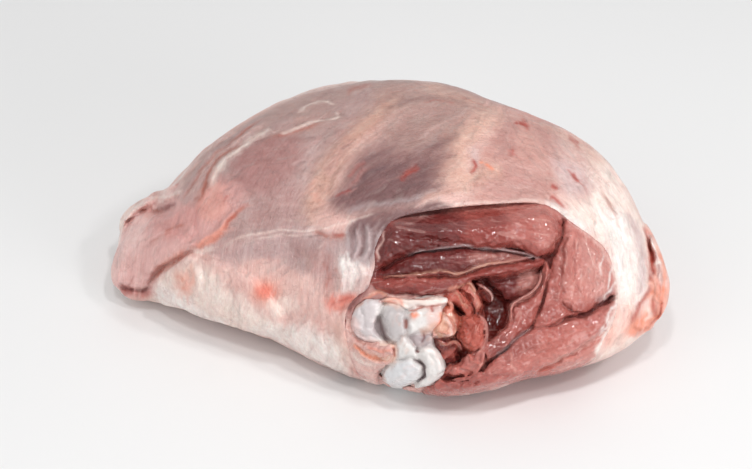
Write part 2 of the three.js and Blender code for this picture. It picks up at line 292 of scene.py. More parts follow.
# A block of space cut into cubes, with the distance to the mass in each.
class Block:
    def __init__(self, low, high, step):
        self.low, self.step = np.array(low, float), step
        counts = np.ceil((np.array(high) - low) / (2 * step)).astype(int) + 1
        coarse = [np.float32(low[k] + 2 * step * np.arange(counts[k])) for k in range(3)]
        self.mass = massDistance(*np.meshgrid(*coarse, indexing="ij", sparse=True)).astype(np.float32)
        for axis in range(3):
            self.mass = doubled(self.mass, axis)
        self.axes = [np.float32(low[k] + step * np.arange(self.mass.shape[k])) for k in range(3)]
        self.field = self.mass.copy()

    def near(self, inner, outer, turned=-2.0):
        # The cubes between two depths, their places, sheet places and how much they face the camera.
        self.cells = np.nonzero((self.mass > -inner) & (self.mass < outer))
        places = np.stack([axis[i] for axis, i in zip(self.axes, self.cells)], 1).astype(np.float64)
        self.places = places
        self.sheetX, self.sheetY, self.ahead = onSheet(*places.T)
        slopes = []
        for axis in range(3):
            index = list(self.cells)
            last = self.mass.shape[axis] - 1
            after, before = index.copy(), index.copy()
            after[axis] = np.minimum(index[axis] + 1, last)
            before[axis] = np.maximum(index[axis] - 1, 0)
            slopes.append(self.mass[tuple(after)] - self.mass[tuple(before)])
        slopes = np.stack(slopes, 1)
        slopes /= np.linalg.norm(slopes, axis=1)[:, None] + 1e-9
        toEye = eye - places
        toEye /= np.linalg.norm(toEye, axis=1)[:, None]
        self.facing = (slopes * toEye).sum(1)
        if turned > -2:
            kept = self.facing > turned
            self.cells = tuple(index[kept] for index in self.cells)
            self.places, self.facing = places[kept], self.facing[kept]
            self.sheetX, self.sheetY, self.ahead = (a[kept] for a in (self.sheetX, self.sheetY, self.ahead))

    def addRods(self, curves, radii, blend):
        # Round rods along curves in space, run smoothly into the field.
        for curve, radius in zip(curves, radii):
            low = (curve.min(0) - radius.max() - blend - self.low) / self.step
            high = (curve.max(0) + radius.max() + blend - self.low) / self.step
            shape = self.field.shape
            spans = [slice(max(int(a), 0), min(int(b) + 2, n)) for a, b, n in zip(low, high, shape)]
            if any(span.start >= span.stop for span in spans):
                continue
            x, y, z = np.meshgrid(*(axis[s] for axis, s in zip(self.axes, spans)), indexing="ij", sparse=True)
            nearest = np.full([s.stop - s.start for s in spans], 1e9, np.float32)
            for a, b, ra, rb in zip(curve[:-1], curve[1:], radius[:-1], radius[1:]):
                side = b - a
                dx, dy, dz = x - a[0], y - a[1], z - a[2]
                t = (dx * side[0] + dy * side[1] + dz * side[2]) / max(side @ side, 1e-9)
                t = np.clip(t, 0, 1)
                apart = (dx - t * side[0]) ** 2 + (dy - t * side[1]) ** 2 + (dz - t * side[2]) ** 2
                gap = np.sqrt(apart) - (ra + t * (rb - ra))
                nearest = np.minimum(nearest, gap)
            part = self.field[tuple(spans)]
            part[...] = smoothMin(part, nearest, blend)

    def surface(self):
        grid = openvdb.FloatGrid(10.0)
        grid.copyFromArray(np.clip(self.field, -10, 10))
        points, quads = grid.convertToQuads()
        corners = points[quads]
        across = np.cross(corners[:, 2] - corners[:, 0], corners[:, 3] - corners[:, 1])
        if (across * corners.mean(1)).sum() < 0:
            quads = quads[:, ::-1]
        return self.low + points * self.step, quads


def facingAt(points):
    # How much the mass faces the camera at any points: 1 head on, 0 edge on, below 0 turned away.
    step = 0.8
    slopes = np.stack([
        massDistance(*(points + step * way).T) - massDistance(*(points - step * way).T)
        for way in np.eye(3)
    ], 1)
    slopes /= np.linalg.norm(slopes, axis=1)[:, None] + 1e-9
    toEye = eye - points
    toEye /= np.linalg.norm(toEye, axis=1)[:, None]
    return (slopes * toEye).sum(1)


# Colours as they look in soft daylight, from 0 to 255.
palette = {
    "creamFat": (243, 222, 212),
    "whiteFat": (247, 236, 231),
    "warmFat": (219, 174, 157),
    "tanFat": (194, 149, 134),
    "palePink": (226, 184, 175),
    "rose": (214, 152, 146),
    "dustyRose": (188, 139, 133),
    "mauve": (178, 146, 142),
    "thighRose": (168, 118, 114),
    "flankPink": (240, 196, 190),
    "taupe": (180, 144, 136),
    "greyPurple": (148, 110, 106),
    "darkPurple": (116, 78, 78),
    "lilacGrey": (182, 151, 149),
    "midPink": (202, 151, 141),
    "softPink": (216, 179, 171),
    "deepPurple": (108, 76, 80),
    "lilac": (205, 180, 180),
    "silver": (170, 150, 150),
    "blush": (238, 160, 140),
    "orangeFat": (236, 140, 108),
    "bloodRed": (172, 62, 48),
    "rust": (176, 92, 72),
    "wine": (120, 52, 50),
    "deepWine": (98, 38, 37),
    "coral": (224, 118, 98),
    "meatRed": (150, 70, 63),
    "brightMeat": (186, 94, 80),
    "paleMeat": (210, 146, 136),
    "pinkMeat": (188, 112, 103),
    # dark red: the meat's own colour in the random streaks, and painted shade in the creases and the deep
    # hollow of the cut face
    "deepRedAndShadow": (108, 36, 32),
    "tornEdge": (196, 106, 92),
    "gristle": (222, 217, 214),
    "ashGristle": (200, 196, 195),
    "paleLilac": (208, 197, 198),
    "blueGristle": (218, 219, 222),
    "shadeGristle": (165, 148, 150),
    "tissue": (226, 172, 148),
}


def colour(name):
    srgb = np.array(palette[name]) / 255
    return np.where(srgb < 0.04045, srgb / 12.92, ((srgb + 0.055) / 1.055) ** 2.4)


def fillAreas(layer, areas):
    for name, soft, strength, points in areas:
        layer.fill(points, colour(name), soft, strength)


def drawStrokes(layer, strokes):
    for name, width, strength, points in strokes:
        layer.line(points, colour(name), width, strength)


def runAt(x, y, runs):
    # The way that the fibres run at a place of the sheet, from the given ones nearby.
    places = np.array(runs, float)
    near = 1 / ((places[:, 0] - x) ** 2 + (places[:, 1] - y) ** 2 + 200) ** 1.5
    doubled = np.radians(places[:, 2]) * 2
    return 0.5 * math.atan2((near * np.sin(doubled)).sum(), (near * np.cos(doubled)).sum())


def streakIn(layer, forms, work, angleAt):
    # Short strokes along the fibres, at random, in the colours and as faint relief.
    rng = np.random.default_rng(work["seed"])
    for _ in range(work["count"]):
        x, y = rng.uniform(work["low"], work["high"])
        length, width = rng.uniform(*work["length"]), rng.uniform(*work["width"])
        here = layer.at(np.array([x]), np.array([y]))[0] * rng.uniform(*work["tone"])
        shade = here + work["tinted"] * (colour(rng.choice(work["shades"])) - here)
        strength, height = rng.uniform(*work["strength"]), rng.uniform(-1, 1) * work["height"]
        way = angleAt(x, y) + rng.normal(0, 0.12)
        bend = rng.normal(0, 0.08) * length
        ax, ay = math.cos(way) * length / 2, -math.sin(way) * length / 2
        points = [(x - ax, y - ay), (x + ay / length * bend, y - ax / length * bend), (x + ax, y + ay)]
        layer.line(points, shade, width, strength)
        forms.line(points, height, width, add=True)


def carve(layer, strokes):
    for height, width, points in strokes:
        layer.line(points, height, width, add=True)


# The fat cover. Places are on the sheet; heights and depths are millimetres, widths sheet units.
cover = {
    "low": (-150, -92, -3),
    "high": (148, 106, 116),
    "band": 4.5,            # the surface stays this close to the mass
    "frontStep": 0.78,
    "backStep": 1.6,
    "backInset": 0.12,      # the back piece lies this far under the front one where they overlap
    "seam": -0.12,          # how far the surface has turned away where the back piece takes over
    "lipBlend": 2.5,
    "smoothing": 0.5,
    "turnedSoft": 0.35,     # the front's relief fades out over this much turning away
    "shownFrom": (0.02, 0.30),      # the front's colours fade in over this much facing
    "waves": [(34.0, 0.9, 3), (13.0, 0.5, 5), (5.0, 0.2, 8)],     # size, height, seed
    "wrinkles": [((26.0, 2.4, 9.0), 0.20, 61), ((60.0, 6.0, 20.0), 0.35, 62)],
    # raised forms: height, width of the rounded rim, outline
    "swells": [
        (2.6, 10.0, [
            (151, 285), (157, 278), (165, 271), (178, 262), (196, 254), (215, 256), (240, 268), (262, 284),
            (280, 302), (285, 330), (240, 338), (200, 324), (160, 306),
        ]),
        (2.2, 9.0, [
            (108, 272), (115, 250), (128, 236), (150, 224), (180, 232), (196, 246), (180, 256), (165, 264),
            (152, 275), (146, 284), (128, 288), (112, 284),
        ]),
        (1.4, 7.0, [
            (120, 228), (132, 208), (150, 198), (178, 190), (176, 200), (150, 207), (134, 216),
            (124, 232),
        ]),
        (1.2, 8.0, [(340, 256), (360, 254), (368, 270), (362, 292), (342, 294), (334, 275)]),
        (1.5, 10.0, [(292, 330), (330, 318), (348, 330), (345, 372), (320, 364), (292, 350)]),
        (2.0, 6.0, [(648, 228), (664, 250), (674, 280), (668, 320), (652, 332), (656, 300), (654, 262)]),
        (1.2, 10.0, [
            (196, 200), (215, 165), (245, 142), (290, 134), (320, 140), (290, 200), (240, 206),
            (222, 226), (200, 240),
        ]),
    ],
    "cutOutline": [
        (376, 266), (376, 250), (384, 232), (399, 218), (436, 210), (482, 205), (530, 203), (552, 209),
        (572, 224), (592, 238), (606, 252), (614, 275), (617, 300), (612, 322), (602, 340), (592, 360),
        (560, 373), (520, 383), (480, 394), (445, 399), (420, 396), (396, 392), (370, 384), (356, 368),
        (349, 345), (346, 325), (349, 308), (358, 297), (368, 290), (372, 280),
    ],
    "cutFront": 20.0,       # the cut reaches from this far behind the sheet to the front
    "cutDeep": 24.0,
    "cutRounding": 0.5,
    "wallDepth": 9.0,
    "fibreCentre": (470, 290),
    "fibreTurn": 150,       # millimetres along the fibres for each radian round that centre
    # grooves and, above 0, ridges: height, width, places
    "creases": [
        (-1.0, 1.8, [(184, 200), (198, 176), (216, 156), (244, 132), (262, 118)]),
        (0.8, 1.8, [(188, 199), (202, 175), (221, 153), (246, 134), (266, 122)]),
        (-0.8, 1.6, [(178, 192), (194, 170), (217, 147), (244, 124), (272, 106)]),
        (0.7, 1.6, [(206, 192), (213, 174), (226, 158), (249, 141), (270, 130)]),
        (-1.2, 3.0, [(140, 214), (154, 212), (166, 214), (180, 206)]),
        (1.0, 3.0, [(146, 220), (160, 220), (176, 214), (190, 204)]),
        (-0.8, 3.0, [(150, 248), (168, 236), (186, 226)]),
        (0.9, 2.4, [(180, 273), (187, 282), (184, 292)]),
        (0.7, 3.0, [(194, 266), (198, 282), (196, 298)]),
        (-0.6, 2.4, [(228, 286), (232, 304), (228, 322)]),
        (0.8, 1.6, [(356, 228), (357, 244), (354, 260)]),
        (-0.8, 1.6, [(362, 226), (362, 242), (358, 256)]),
        (0.8, 1.6, [(368, 228), (368, 244), (364, 260)]),
        (-1.0, 2.4, [(314, 234), (330, 241), (345, 237)]),
        (0.9, 2.4, [(316, 228), (332, 232), (348, 228)]),
        (-1.6, 2.2, [(190, 250), (205, 243), (215, 239), (224, 231), (229, 222), (238, 211), (250, 203)]),
        (1.6, 3.0, [(188, 247), (203, 240), (213, 235), (222, 227), (227, 218), (236, 208)]),
        (-2.2, 2.0, [(151, 288), (153, 279), (160, 271), (170, 264), (183, 257), (194, 252)]),
        (2.0, 3.2, [(156, 288), (159, 280), (165, 274), (174, 267), (186, 261), (198, 256)]),
        (1.0, 3.0, [(146, 280), (150, 272), (158, 265), (170, 258), (182, 252)]),
        (-2.2, 2.2, [(118, 284), (126, 289), (140, 290), (151, 287)]),
        (-1.6, 2.4, [
            (124, 232), (129, 222), (136, 214), (142, 210), (150, 209), (158, 212), (168, 209),
            (177, 204),
        ]),
        (1.6, 3.0, [(122, 224), (127, 214), (134, 207), (145, 202), (155, 199)]),
        (-1.0, 2.6, [(155, 203), (165, 202), (176, 199)]),
        (-0.9, 2.6, [(198, 199), (205, 185), (209, 175), (222, 156), (245, 140), (266, 129)]),
        (0.5, 1.6, [
            (220, 246), (238, 236), (260, 231), (284, 230), (314, 231), (340, 225), (370, 215),
            (400, 208),
        ]),
        (-0.6, 1.6, [(203, 262), (205, 278), (203, 292)]),
        (-0.6, 1.6, [(215, 270), (217, 285), (214, 300)]),
        (-1.2, 3.0, [(352, 300), (349, 312), (352, 322), (350, 335), (343, 350), (340, 366)]),
        (-0.9, 3.0, [(326, 315), (328, 340), (329, 355), (327, 362)]),
        (-1.4, 2.4, [(364, 290), (358, 300), (350, 308), (336, 312)]),
        (-1.6, 1.6, [(645, 227), (650, 240), (652, 255), (651, 270), (650, 282)]),
        (-1.0, 1.3, [(655, 286), (659, 300), (657, 314), (650, 326)]),
        (1.0, 1.6, [(648, 232), (656, 248), (659, 266), (657, 284)]),
        (0.9, 1.5, [(645, 300), (652, 293), (659, 300)]),
        (-1.2, 1.8, [(650, 285), (643, 298), (636, 310), (628, 322)]),
        (-0.8, 1.8, [(395, 120), (360, 145), (335, 170), (325, 200)]),
        (-0.5, 5.0, [(420, 100), (380, 125), (350, 160), (338, 190)]),
        (0.7, 6.0, [(500, 110), (480, 122), (466, 137), (458, 155), (455, 180)]),
        (-0.5, 2.0, [(290, 125), (310, 121), (337, 117), (338, 109)]),
        (0.5, 2.0, [(262, 130), (285, 133), (300, 127), (320, 121)]),
        (-0.5, 2.0, [(345, 190), (358, 180), (370, 168)]),
        (-0.5, 1.6, [(400, 180), (408, 171), (418, 166)]),
        (-0.6, 1.5, [(551, 200), (558, 204), (566, 211)]),
        (-0.5, 1.5, [(512, 125), (520, 124), (528, 128)]),
        (-0.4, 3.0, [(600, 175), (622, 205), (634, 240), (638, 275), (632, 310)]),
        (-0.6, 4.0, [(285, 245), (300, 256), (318, 262), (330, 280)]),
    ],
    # rounded edges that stand out: radius, height over the mass, places
    "lips": {
        "tear": (1.0, 0.0, [
            (190, 249), (203, 243), (213, 238), (222, 230), (227, 221), (236, 211), (248, 204),
        ]),
        "flankRim": (1.8, -0.4, [(121, 228), (124, 219), (130, 212), (138, 206), (147, 201), (156, 198)]),
        "tipUnder": (2.0, -0.6, [(124, 292), (136, 296), (150, 296)]),
        "ragged": (1.0, 0.0, [(150, 196), (158, 193), (166, 192), (176, 186)]),
        "redFlap": (1.5, 0.0, [(646, 226), (652, 240), (658, 256), (661, 272), (659, 286)]),
        "redFold": (1.2, 0.0, [(650, 286), (643, 300), (635, 314), (631, 322)]),
        "redTab": (1.0, 0.0, [(651, 298), (653, 315)]),
        "redEnd": (1.2, 0.0, [(634, 324), (642, 329), (652, 326)]),
        "kneeLip": (2.2, 0.6, [(366, 377), (380, 383), (396, 387), (412, 390), (430, 392), (446, 392)]),
    },
    # colour, softness of the rim, strength, outline
    "areas": [
        ("mauve", 9, 0.95, [
            (192, 166), (250, 112), (300, 90), (360, 76), (402, 72), (404, 108), (342, 150), (320, 200),
            (304, 234), (250, 238), (216, 250), (190, 242), (184, 205),
        ]),
        ("taupe", 6, 0.6, [
            (252, 120), (280, 100), (315, 88), (365, 78), (352, 96), (310, 106), (280, 118), (256, 132),
        ]),
        ("thighRose", 9, 0.85, [
            (236, 152), (260, 138), (288, 134), (302, 140), (298, 166), (276, 190), (250, 194),
            (234, 180),
        ]),
        ("taupe", 7, 0.6, [(296, 108), (330, 104), (340, 118), (318, 132), (296, 130)]),
        ("greyPurple", 13, 1.0, [
            (352, 160), (375, 140), (398, 120), (425, 108), (456, 112), (466, 126), (456, 144), (453, 164),
            (440, 188), (400, 204), (365, 211), (338, 211), (326, 203), (336, 184),
        ]),
        ("darkPurple", 11, 0.95, [(334, 202), (360, 174), (392, 160), (430, 164), (424, 198), (352, 212)]),
        ("taupe", 9, 0.6, [(404, 112), (440, 92), (490, 104), (466, 122), (458, 150), (440, 140)]),
        ("greyPurple", 6, 0.5, [(340, 178), (356, 160), (372, 146), (362, 172), (344, 196)]),
        ("tanFat", 6, 0.8, [(316, 190), (322, 168), (338, 150), (350, 146), (336, 170), (328, 196)]),
        ("thighRose", 8, 0.4, [(262, 196), (300, 180), (306, 210), (276, 226), (250, 220)]),
        ("mauve", 5, 0.7, [(296, 190), (312, 170), (318, 200), (304, 226)]),
        ("taupe", 6, 0.6, [(386, 128), (412, 116), (446, 118), (452, 132), (424, 146), (394, 150)]),
        ("taupe", 6, 0.85, [
            (372, 84), (405, 74), (442, 80), (498, 104), (472, 115), (440, 106), (405, 110), (384, 112),
        ]),
        ("warmFat", 6, 0.45, [(424, 84), (456, 84), (480, 96), (470, 104), (440, 100)]),
        ("midPink", 9, 0.9, [
            (502, 110), (540, 119), (570, 132), (566, 165), (552, 201), (500, 203), (468, 199), (478, 160),
            (490, 135),
        ]),
        ("softPink", 8, 0.85, [(558, 128), (592, 148), (616, 176), (606, 204), (572, 200), (552, 172)]),
        ("creamFat", 10, 0.95, [
            (596, 150), (622, 178), (645, 212), (670, 280), (657, 336), (600, 366), (612, 324), (619, 290),
            (607, 250), (578, 222), (560, 204), (590, 196),
        ]),
        ("whiteFat", 9, 0.8, [
            (600, 215), (626, 215), (636, 255), (634, 300), (618, 335), (618, 290), (610, 250),
        ]),
        ("dustyRose", 7, 0.55, [(499, 122), (514, 124), (514, 154), (499, 158), (491, 140)]),
        ("dustyRose", 8, 0.5, [(536, 128), (550, 131), (564, 158), (548, 162), (540, 146)]),
        ("dustyRose", 10, 0.55, [(484, 172), (520, 162), (548, 174), (545, 198), (500, 202)]),
        ("lilac", 8, 0.6, [(556, 162), (580, 166), (592, 188), (566, 194)]),
        ("lilac", 4, 0.7, [(627, 214), (641, 232), (646, 260), (643, 292), (636, 290), (636, 250)]),
        ("lilacGrey", 10, 0.9, [
            (214, 252), (240, 240), (284, 231), (322, 233), (352, 240), (352, 264), (332, 286), (300, 274),
            (260, 264), (226, 270),
        ]),
        ("greyPurple", 8, 0.5, [(288, 240), (322, 246), (326, 266), (296, 268)]),
        ("palePink", 12, 0.8, [
            (206, 264), (250, 264), (300, 276), (346, 302), (346, 332), (290, 332), (236, 302),
        ]),
        ("creamFat", 9, 0.95, [
            (152, 284), (172, 268), (198, 262), (224, 286), (260, 314), (300, 334), (348, 346), (346, 376),
            (330, 388), (250, 350), (180, 325), (148, 308),
        ]),
        ("flankPink", 8, 0.95, [
            (106, 270), (116, 225), (134, 200), (180, 188), (204, 215), (197, 250), (162, 270), (149, 292),
            (112, 296),
        ]),
        ("rose", 8, 0.45, [
            (122, 268), (150, 240), (190, 222), (198, 246), (165, 262), (145, 286), (122, 288),
        ]),
        ("rose", 8, 0.8, [(152, 222), (168, 212), (196, 204), (200, 224), (176, 240), (154, 240)]),
        ("rose", 7, 0.6, [
            (196, 190), (226, 176), (246, 196), (232, 216), (212, 240), (194, 246), (188, 220),
        ]),
        ("rose", 5, 0.5, [(150, 206), (180, 194), (206, 200), (196, 224), (160, 226)]),
        ("mauve", 5, 0.8, [
            (176, 190), (206, 158), (250, 118), (262, 126), (226, 156), (200, 198), (184, 206),
        ]),
        ("blush", 6, 0.35, [(200, 190), (222, 186), (226, 210), (208, 222), (198, 210)]),
        ("whiteFat", 5, 0.75, [(340, 256), (362, 254), (371, 270), (364, 292), (342, 292), (336, 275)]),
        ("dustyRose", 3, 0.6, [(348, 286), (366, 276), (368, 288), (354, 302), (344, 306)]),
        ("silver", 4, 0.95, [
            (346, 228), (362, 220), (384, 226), (379, 246), (371, 264), (352, 260), (345, 244),
        ]),
        ("darkPurple", 4, 0.9, [
            (348, 226), (370, 214), (400, 207), (446, 204), (446, 212), (404, 221), (384, 232), (366, 230),
            (352, 238),
        ]),
        ("deepPurple", 3, 0.3, [(384, 218), (410, 208), (442, 205), (440, 211), (404, 220), (386, 228)]),
        ("dustyRose", 5, 0.5, [(310, 254), (334, 258), (338, 288), (316, 288)]),
        ("blush", 7, 0.65, [(254, 282), (278, 282), (278, 302), (256, 302)]),
        ("coral", 5, 0.8, [(256, 289), (268, 285), (277, 289), (268, 299), (259, 298)]),
        ("whiteFat", 10, 0.65, [
            (250, 330), (300, 326), (330, 340), (344, 362), (336, 380), (300, 370), (262, 350),
        ]),
        ("whiteFat", 5, 0.7, [
            (158, 284), (172, 290), (200, 308), (226, 322), (214, 330), (180, 318), (156, 298),
        ]),
        ("creamFat", 4, 0.7, [(270, 300), (290, 296), (296, 310), (276, 316)]),
        ("blush", 6, 0.6, [(176, 270), (190, 272), (193, 292), (180, 296)]),
        ("coral", 4, 0.75, [(328, 297), (352, 293), (356, 302), (342, 310), (328, 306)]),
        ("blush", 3, 0.75, [
            (646, 224), (658, 245), (670, 280), (666, 314), (652, 334), (628, 334), (642, 300), (650, 270),
        ]),
        ("blush", 3, 0.6, [(657, 250), (669, 280), (666, 306), (656, 292), (654, 268)]),
        ("whiteFat", 3, 0.9, [(655, 254), (665, 268), (666, 286), (658, 284)]),
        ("blush", 9, 0.5, [(606, 312), (636, 300), (640, 322), (624, 340), (604, 344)]),
        ("orangeFat", 3, 0.6, [(636, 318), (650, 308), (660, 316), (648, 332), (626, 334)]),
        ("whiteFat", 3, 0.5, [(634, 300), (646, 288), (650, 300), (640, 318)]),
    ],
    # colour, width, strength, places
    "strokes": [
        ("tanFat", 11, 0.95, [(404, 94), (370, 122), (345, 146), (324, 178), (314, 200), (310, 226)]),
        ("warmFat", 3, 0.4, [(398, 98), (376, 114), (354, 132), (340, 146)]),
        ("dustyRose", 5, 0.5, [(352, 140), (336, 158), (326, 178)]),
        ("warmFat", 4, 0.4, [(316, 196), (312, 210), (310, 222)]),
        ("blush", 4, 0.25, [(322, 206), (312, 190), (316, 176)]),
        ("warmFat", 13, 0.85, [(502, 108), (481, 122), (467, 137), (460, 152), (456, 172), (450, 193)]),
        ("warmFat", 8, 0.7, [(458, 182), (480, 174), (505, 168)]),
        ("warmFat", 8, 0.5, [(540, 118), (566, 130), (590, 148), (606, 168)]),
        ("deepPurple", 2.2, 0.6, [(328, 202), (350, 188), (372, 173), (392, 165)]),
        ("deepPurple", 3, 0.4, [(346, 178), (364, 164), (384, 154), (402, 140)]),
        ("darkPurple", 4, 0.5, [(425, 148), (448, 141), (460, 132)]),
        ("darkPurple", 3, 0.5, [(436, 160), (456, 155)]),
        ("darkPurple", 3, 0.45, [(350, 206), (385, 196), (420, 188)]),
        ("darkPurple", 3, 0.4, [(384, 110), (410, 100), (440, 98), (470, 104)]),
        ("rust", 3.5, 0.45, [(346, 92), (356, 87), (372, 84)]),
        ("bloodRed", 1.8, 0.5, [(346, 176), (356, 170), (368, 164)]),
        ("bloodRed", 1.4, 0.5, [(334, 198), (344, 192), (352, 190)]),
        ("bloodRed", 1.2, 0.4, [(424, 104), (440, 101), (456, 104)]),
        ("bloodRed", 1.0, 0.4, [(462, 98), (476, 101), (490, 107)]),
        ("lilac", 5, 0.5, [(470, 146), (476, 156), (474, 168)]),
        ("taupe", 3, 0.6, [(448, 120), (456, 112), (470, 108)]),
        ("silver", 2.5, 0.6, [(345, 213), (370, 206), (400, 201), (436, 192)]),
        ("tanFat", 3, 0.6, [(420, 200), (450, 190), (470, 188)]),
        ("bloodRed", 3.0, 0.95, [(401, 181), (408, 173), (419, 165)]),
        ("bloodRed", 2.0, 0.4, [(344, 191), (354, 181), (366, 170)]),
        ("bloodRed", 2.6, 0.95, [(513, 124), (521, 124), (530, 128)]),
        ("bloodRed", 2.2, 0.8, [(511, 148), (513, 156)]),
        ("bloodRed", 2.0, 0.8, [(569, 136), (579, 144)]),
        ("bloodRed", 2.2, 0.85, [(573, 174), (580, 183)]),
        ("bloodRed", 2.2, 0.85, [(551, 186), (559, 190)]),
        ("bloodRed", 3.0, 1.0, [(551, 199), (558, 203), (567, 210)]),
        ("rust", 1.5, 0.4, [(598, 186), (606, 198), (612, 208)]),
        ("rust", 1.2, 0.35, [(605, 196), (615, 214), (622, 232)]),
        # the silver and dusty rose strokes paint grey shade between the white strands of the tendon
        ("silver", 1.2, 0.6, [(344, 262), (348, 276), (346, 290)]),
        ("silver", 1.2, 0.6, [(354, 258), (359, 272), (356, 288)]),
        ("dustyRose", 1.4, 0.6, [(364, 262), (367, 274), (362, 288)]),
        ("whiteFat", 1.4, 0.8, [(340, 258), (343, 272), (340, 288)]),
        ("whiteFat", 1.4, 0.8, [(350, 262), (354, 276), (350, 290)]),
        ("taupe", 2.0, 0.5, [(300, 250), (308, 262), (306, 276)]),
        ("taupe", 1.6, 0.5, [(226, 262), (230, 274), (226, 290)]),
        ("palePink", 2.4, 0.6, [(240, 270), (262, 262), (286, 262)]),
        ("creamFat", 2.0, 0.6, [(192, 251), (202, 252), (214, 248)]),
        ("bloodRed", 1.6, 0.6, [(221, 202), (224, 199), (227, 197)]),
        ("rust", 1.8, 0.6, [(162, 231), (174, 226), (184, 223)]),
        ("rust", 1.5, 0.5, [(150, 240), (160, 236), (170, 231)]),
        ("bloodRed", 2.0, 0.5, [(155, 206), (163, 205), (170, 207)]),
        # a painted shadow along the ridge
        ("rust", 2.0, 0.6, [(193, 200), (200, 200), (202, 190), (206, 180)]),
        ("bloodRed", 1.8, 0.6, [(120, 283), (126, 287), (134, 287)]),
        ("blush", 2.6, 0.8, [(196, 245), (206, 240), (216, 235), (223, 229), (228, 221), (235, 213)]),
        ("bloodRed", 1.3, 0.9, [(210, 242), (218, 237), (225, 230), (229, 221), (235, 215)]),
        ("bloodRed", 2.2, 0.9, [(473, 160), (475, 167), (470, 174)]),
        ("orangeFat", 1.8, 0.8, [(479, 162), (486, 164), (494, 170)]),
        ("rust", 2.4, 0.6, [(268, 136), (290, 134), (305, 130), (322, 123)]),
        ("creamFat", 1.5, 0.7, [(262, 130), (285, 133), (300, 127), (320, 121), (337, 117), (338, 109)]),
        ("creamFat", 1.3, 0.6, [(298, 112), (310, 104), (324, 101), (336, 104)]),
        ("creamFat", 1.2, 0.5, [(225, 245), (245, 236), (284, 230), (314, 231), (345, 223), (375, 214)]),
        ("creamFat", 1.0, 0.4, [(250, 242), (280, 236), (310, 236)]),
        ("creamFat", 3, 0.8, [(208, 192), (215, 174), (227, 159), (250, 141), (270, 130)]),
        ("rust", 1.6, 0.7, [(200, 199), (206, 185), (210, 174), (222, 157), (240, 144)]),
        ("rust", 1.3, 0.6, [(184, 200), (198, 176), (216, 156), (244, 132), (262, 118)]),
        ("softPink", 1.6, 0.7, [(188, 198), (202, 174), (222, 152), (246, 134), (266, 122)]),
        ("taupe", 1.4, 0.7, [(180, 190), (196, 168), (218, 146), (244, 124), (272, 106)]),
        ("softPink", 1.4, 0.6, [(178, 186), (192, 168), (214, 148), (240, 124), (268, 105)]),
        ("creamFat", 3.5, 0.9, [(119, 230), (125, 217), (135, 206), (148, 200)]),
        ("creamFat", 2.0, 0.7, [(150, 202), (158, 198), (170, 196), (184, 190)]),
        ("bloodRed", 2.4, 0.6, [(153, 195), (162, 195)]),
        ("bloodRed", 2.4, 0.6, [(175, 185), (178, 178)]),
        # these two strokes paint the shadow under the flank's rim
        ("wine", 2.6, 0.7, [(155, 209), (165, 208), (176, 203)]),
        ("rust", 1.8, 0.6, [(140, 211), (152, 209), (164, 212)]),
        ("rust", 2.2, 0.85, [
            (190, 251), (205, 244), (217, 238), (226, 230), (230, 220), (240, 210), (250, 203),
        ]),
        ("blush", 3, 0.7, [(196, 247), (212, 241), (222, 234), (228, 226)]),
        # dark red band under the flank tip: the meat's red with painted shade under the tip
        ("bloodRed", 5, 0.7, [(118, 289), (130, 294), (145, 295), (155, 292)]),
        ("wine", 2.5, 0.8, [(120, 286), (130, 290), (144, 291), (152, 285)]),
        ("rust", 3.0, 0.7, [(152, 281), (160, 272), (170, 265), (183, 257), (196, 252)]),
        ("blush", 2.5, 0.5, [(154, 272), (164, 263), (178, 255), (186, 251)]),
        ("orangeFat", 2.0, 0.6, [(180, 274), (186, 282), (183, 291)]),
        ("orangeFat", 2.0, 0.4, [(192, 262), (194, 276), (192, 288)]),
        ("bloodRed", 1.6, 0.6, [(330, 303), (342, 300), (352, 296)]),
        ("rust", 2.6, 0.6, [(314, 232), (330, 238), (345, 234)]),
        ("bloodRed", 1.5, 0.5, [(333, 236), (344, 234)]),
        ("rust", 2.0, 0.45, [(322, 262), (328, 276), (326, 290)]),
        ("rust", 1.6, 0.4, [(334, 268), (340, 282), (338, 294)]),
        ("darkPurple", 1.6, 0.7, [(350, 232), (352, 246), (350, 258)]),
        ("darkPurple", 2.2, 0.8, [(362, 226), (362, 242), (358, 256)]),
        ("lilac", 1.4, 0.8, [(356, 228), (357, 244), (354, 260)]),
        ("lilac", 1.4, 0.8, [(368, 228), (368, 244), (364, 260)]),
        ("darkPurple", 1.8, 0.7, [(374, 230), (373, 244), (368, 260)]),
        ("lilac", 1.3, 0.7, [(380, 229), (378, 240), (374, 252)]),
        # painted shadow in the crevice above the knuckle
        ("darkPurple", 3.0, 0.8, [(356, 310), (366, 298), (366, 286)]),
        ("orangeFat", 2.6, 0.8, [(655, 246), (661, 262), (663, 280), (660, 298)]),
        ("orangeFat", 2.2, 0.8, [(645, 300), (652, 292), (658, 300), (660, 314)]),
        ("orangeFat", 2.4, 0.8, [(640, 322), (650, 318), (660, 312)]),
        ("bloodRed", 2.8, 1.0, [(645, 226), (650, 240), (652, 255), (651, 270), (650, 284)]),
        ("whiteFat", 1.6, 0.9, [(648, 232), (655, 246), (657, 262), (656, 280)]),
        ("bloodRed", 1.6, 0.8, [(660, 300), (658, 314), (650, 326)]),
        ("creamFat", 1.8, 0.8, [(647, 306), (650, 314), (644, 322)]),
        ("bloodRed", 2.6, 0.85, [(650, 286), (643, 300), (635, 314), (630, 323)]),
        ("bloodRed", 2, 0.8, [(652, 298), (653, 316)]),
        ("rust", 2, 0.6, [(632, 326), (642, 330), (654, 326)]),
        ("bloodRed", 1.5, 0.5, [(657, 262), (660, 276), (659, 290)]),
        ("whiteFat", 4.0, 0.8, [(546, 203), (562, 212), (578, 222), (592, 234)]),
        ("creamFat", 1.6, 0.4, [(440, 206), (470, 204), (500, 202), (530, 200), (548, 204)]),
        ("silver", 1.4, 0.5, [(552, 212), (566, 220), (580, 230)]),
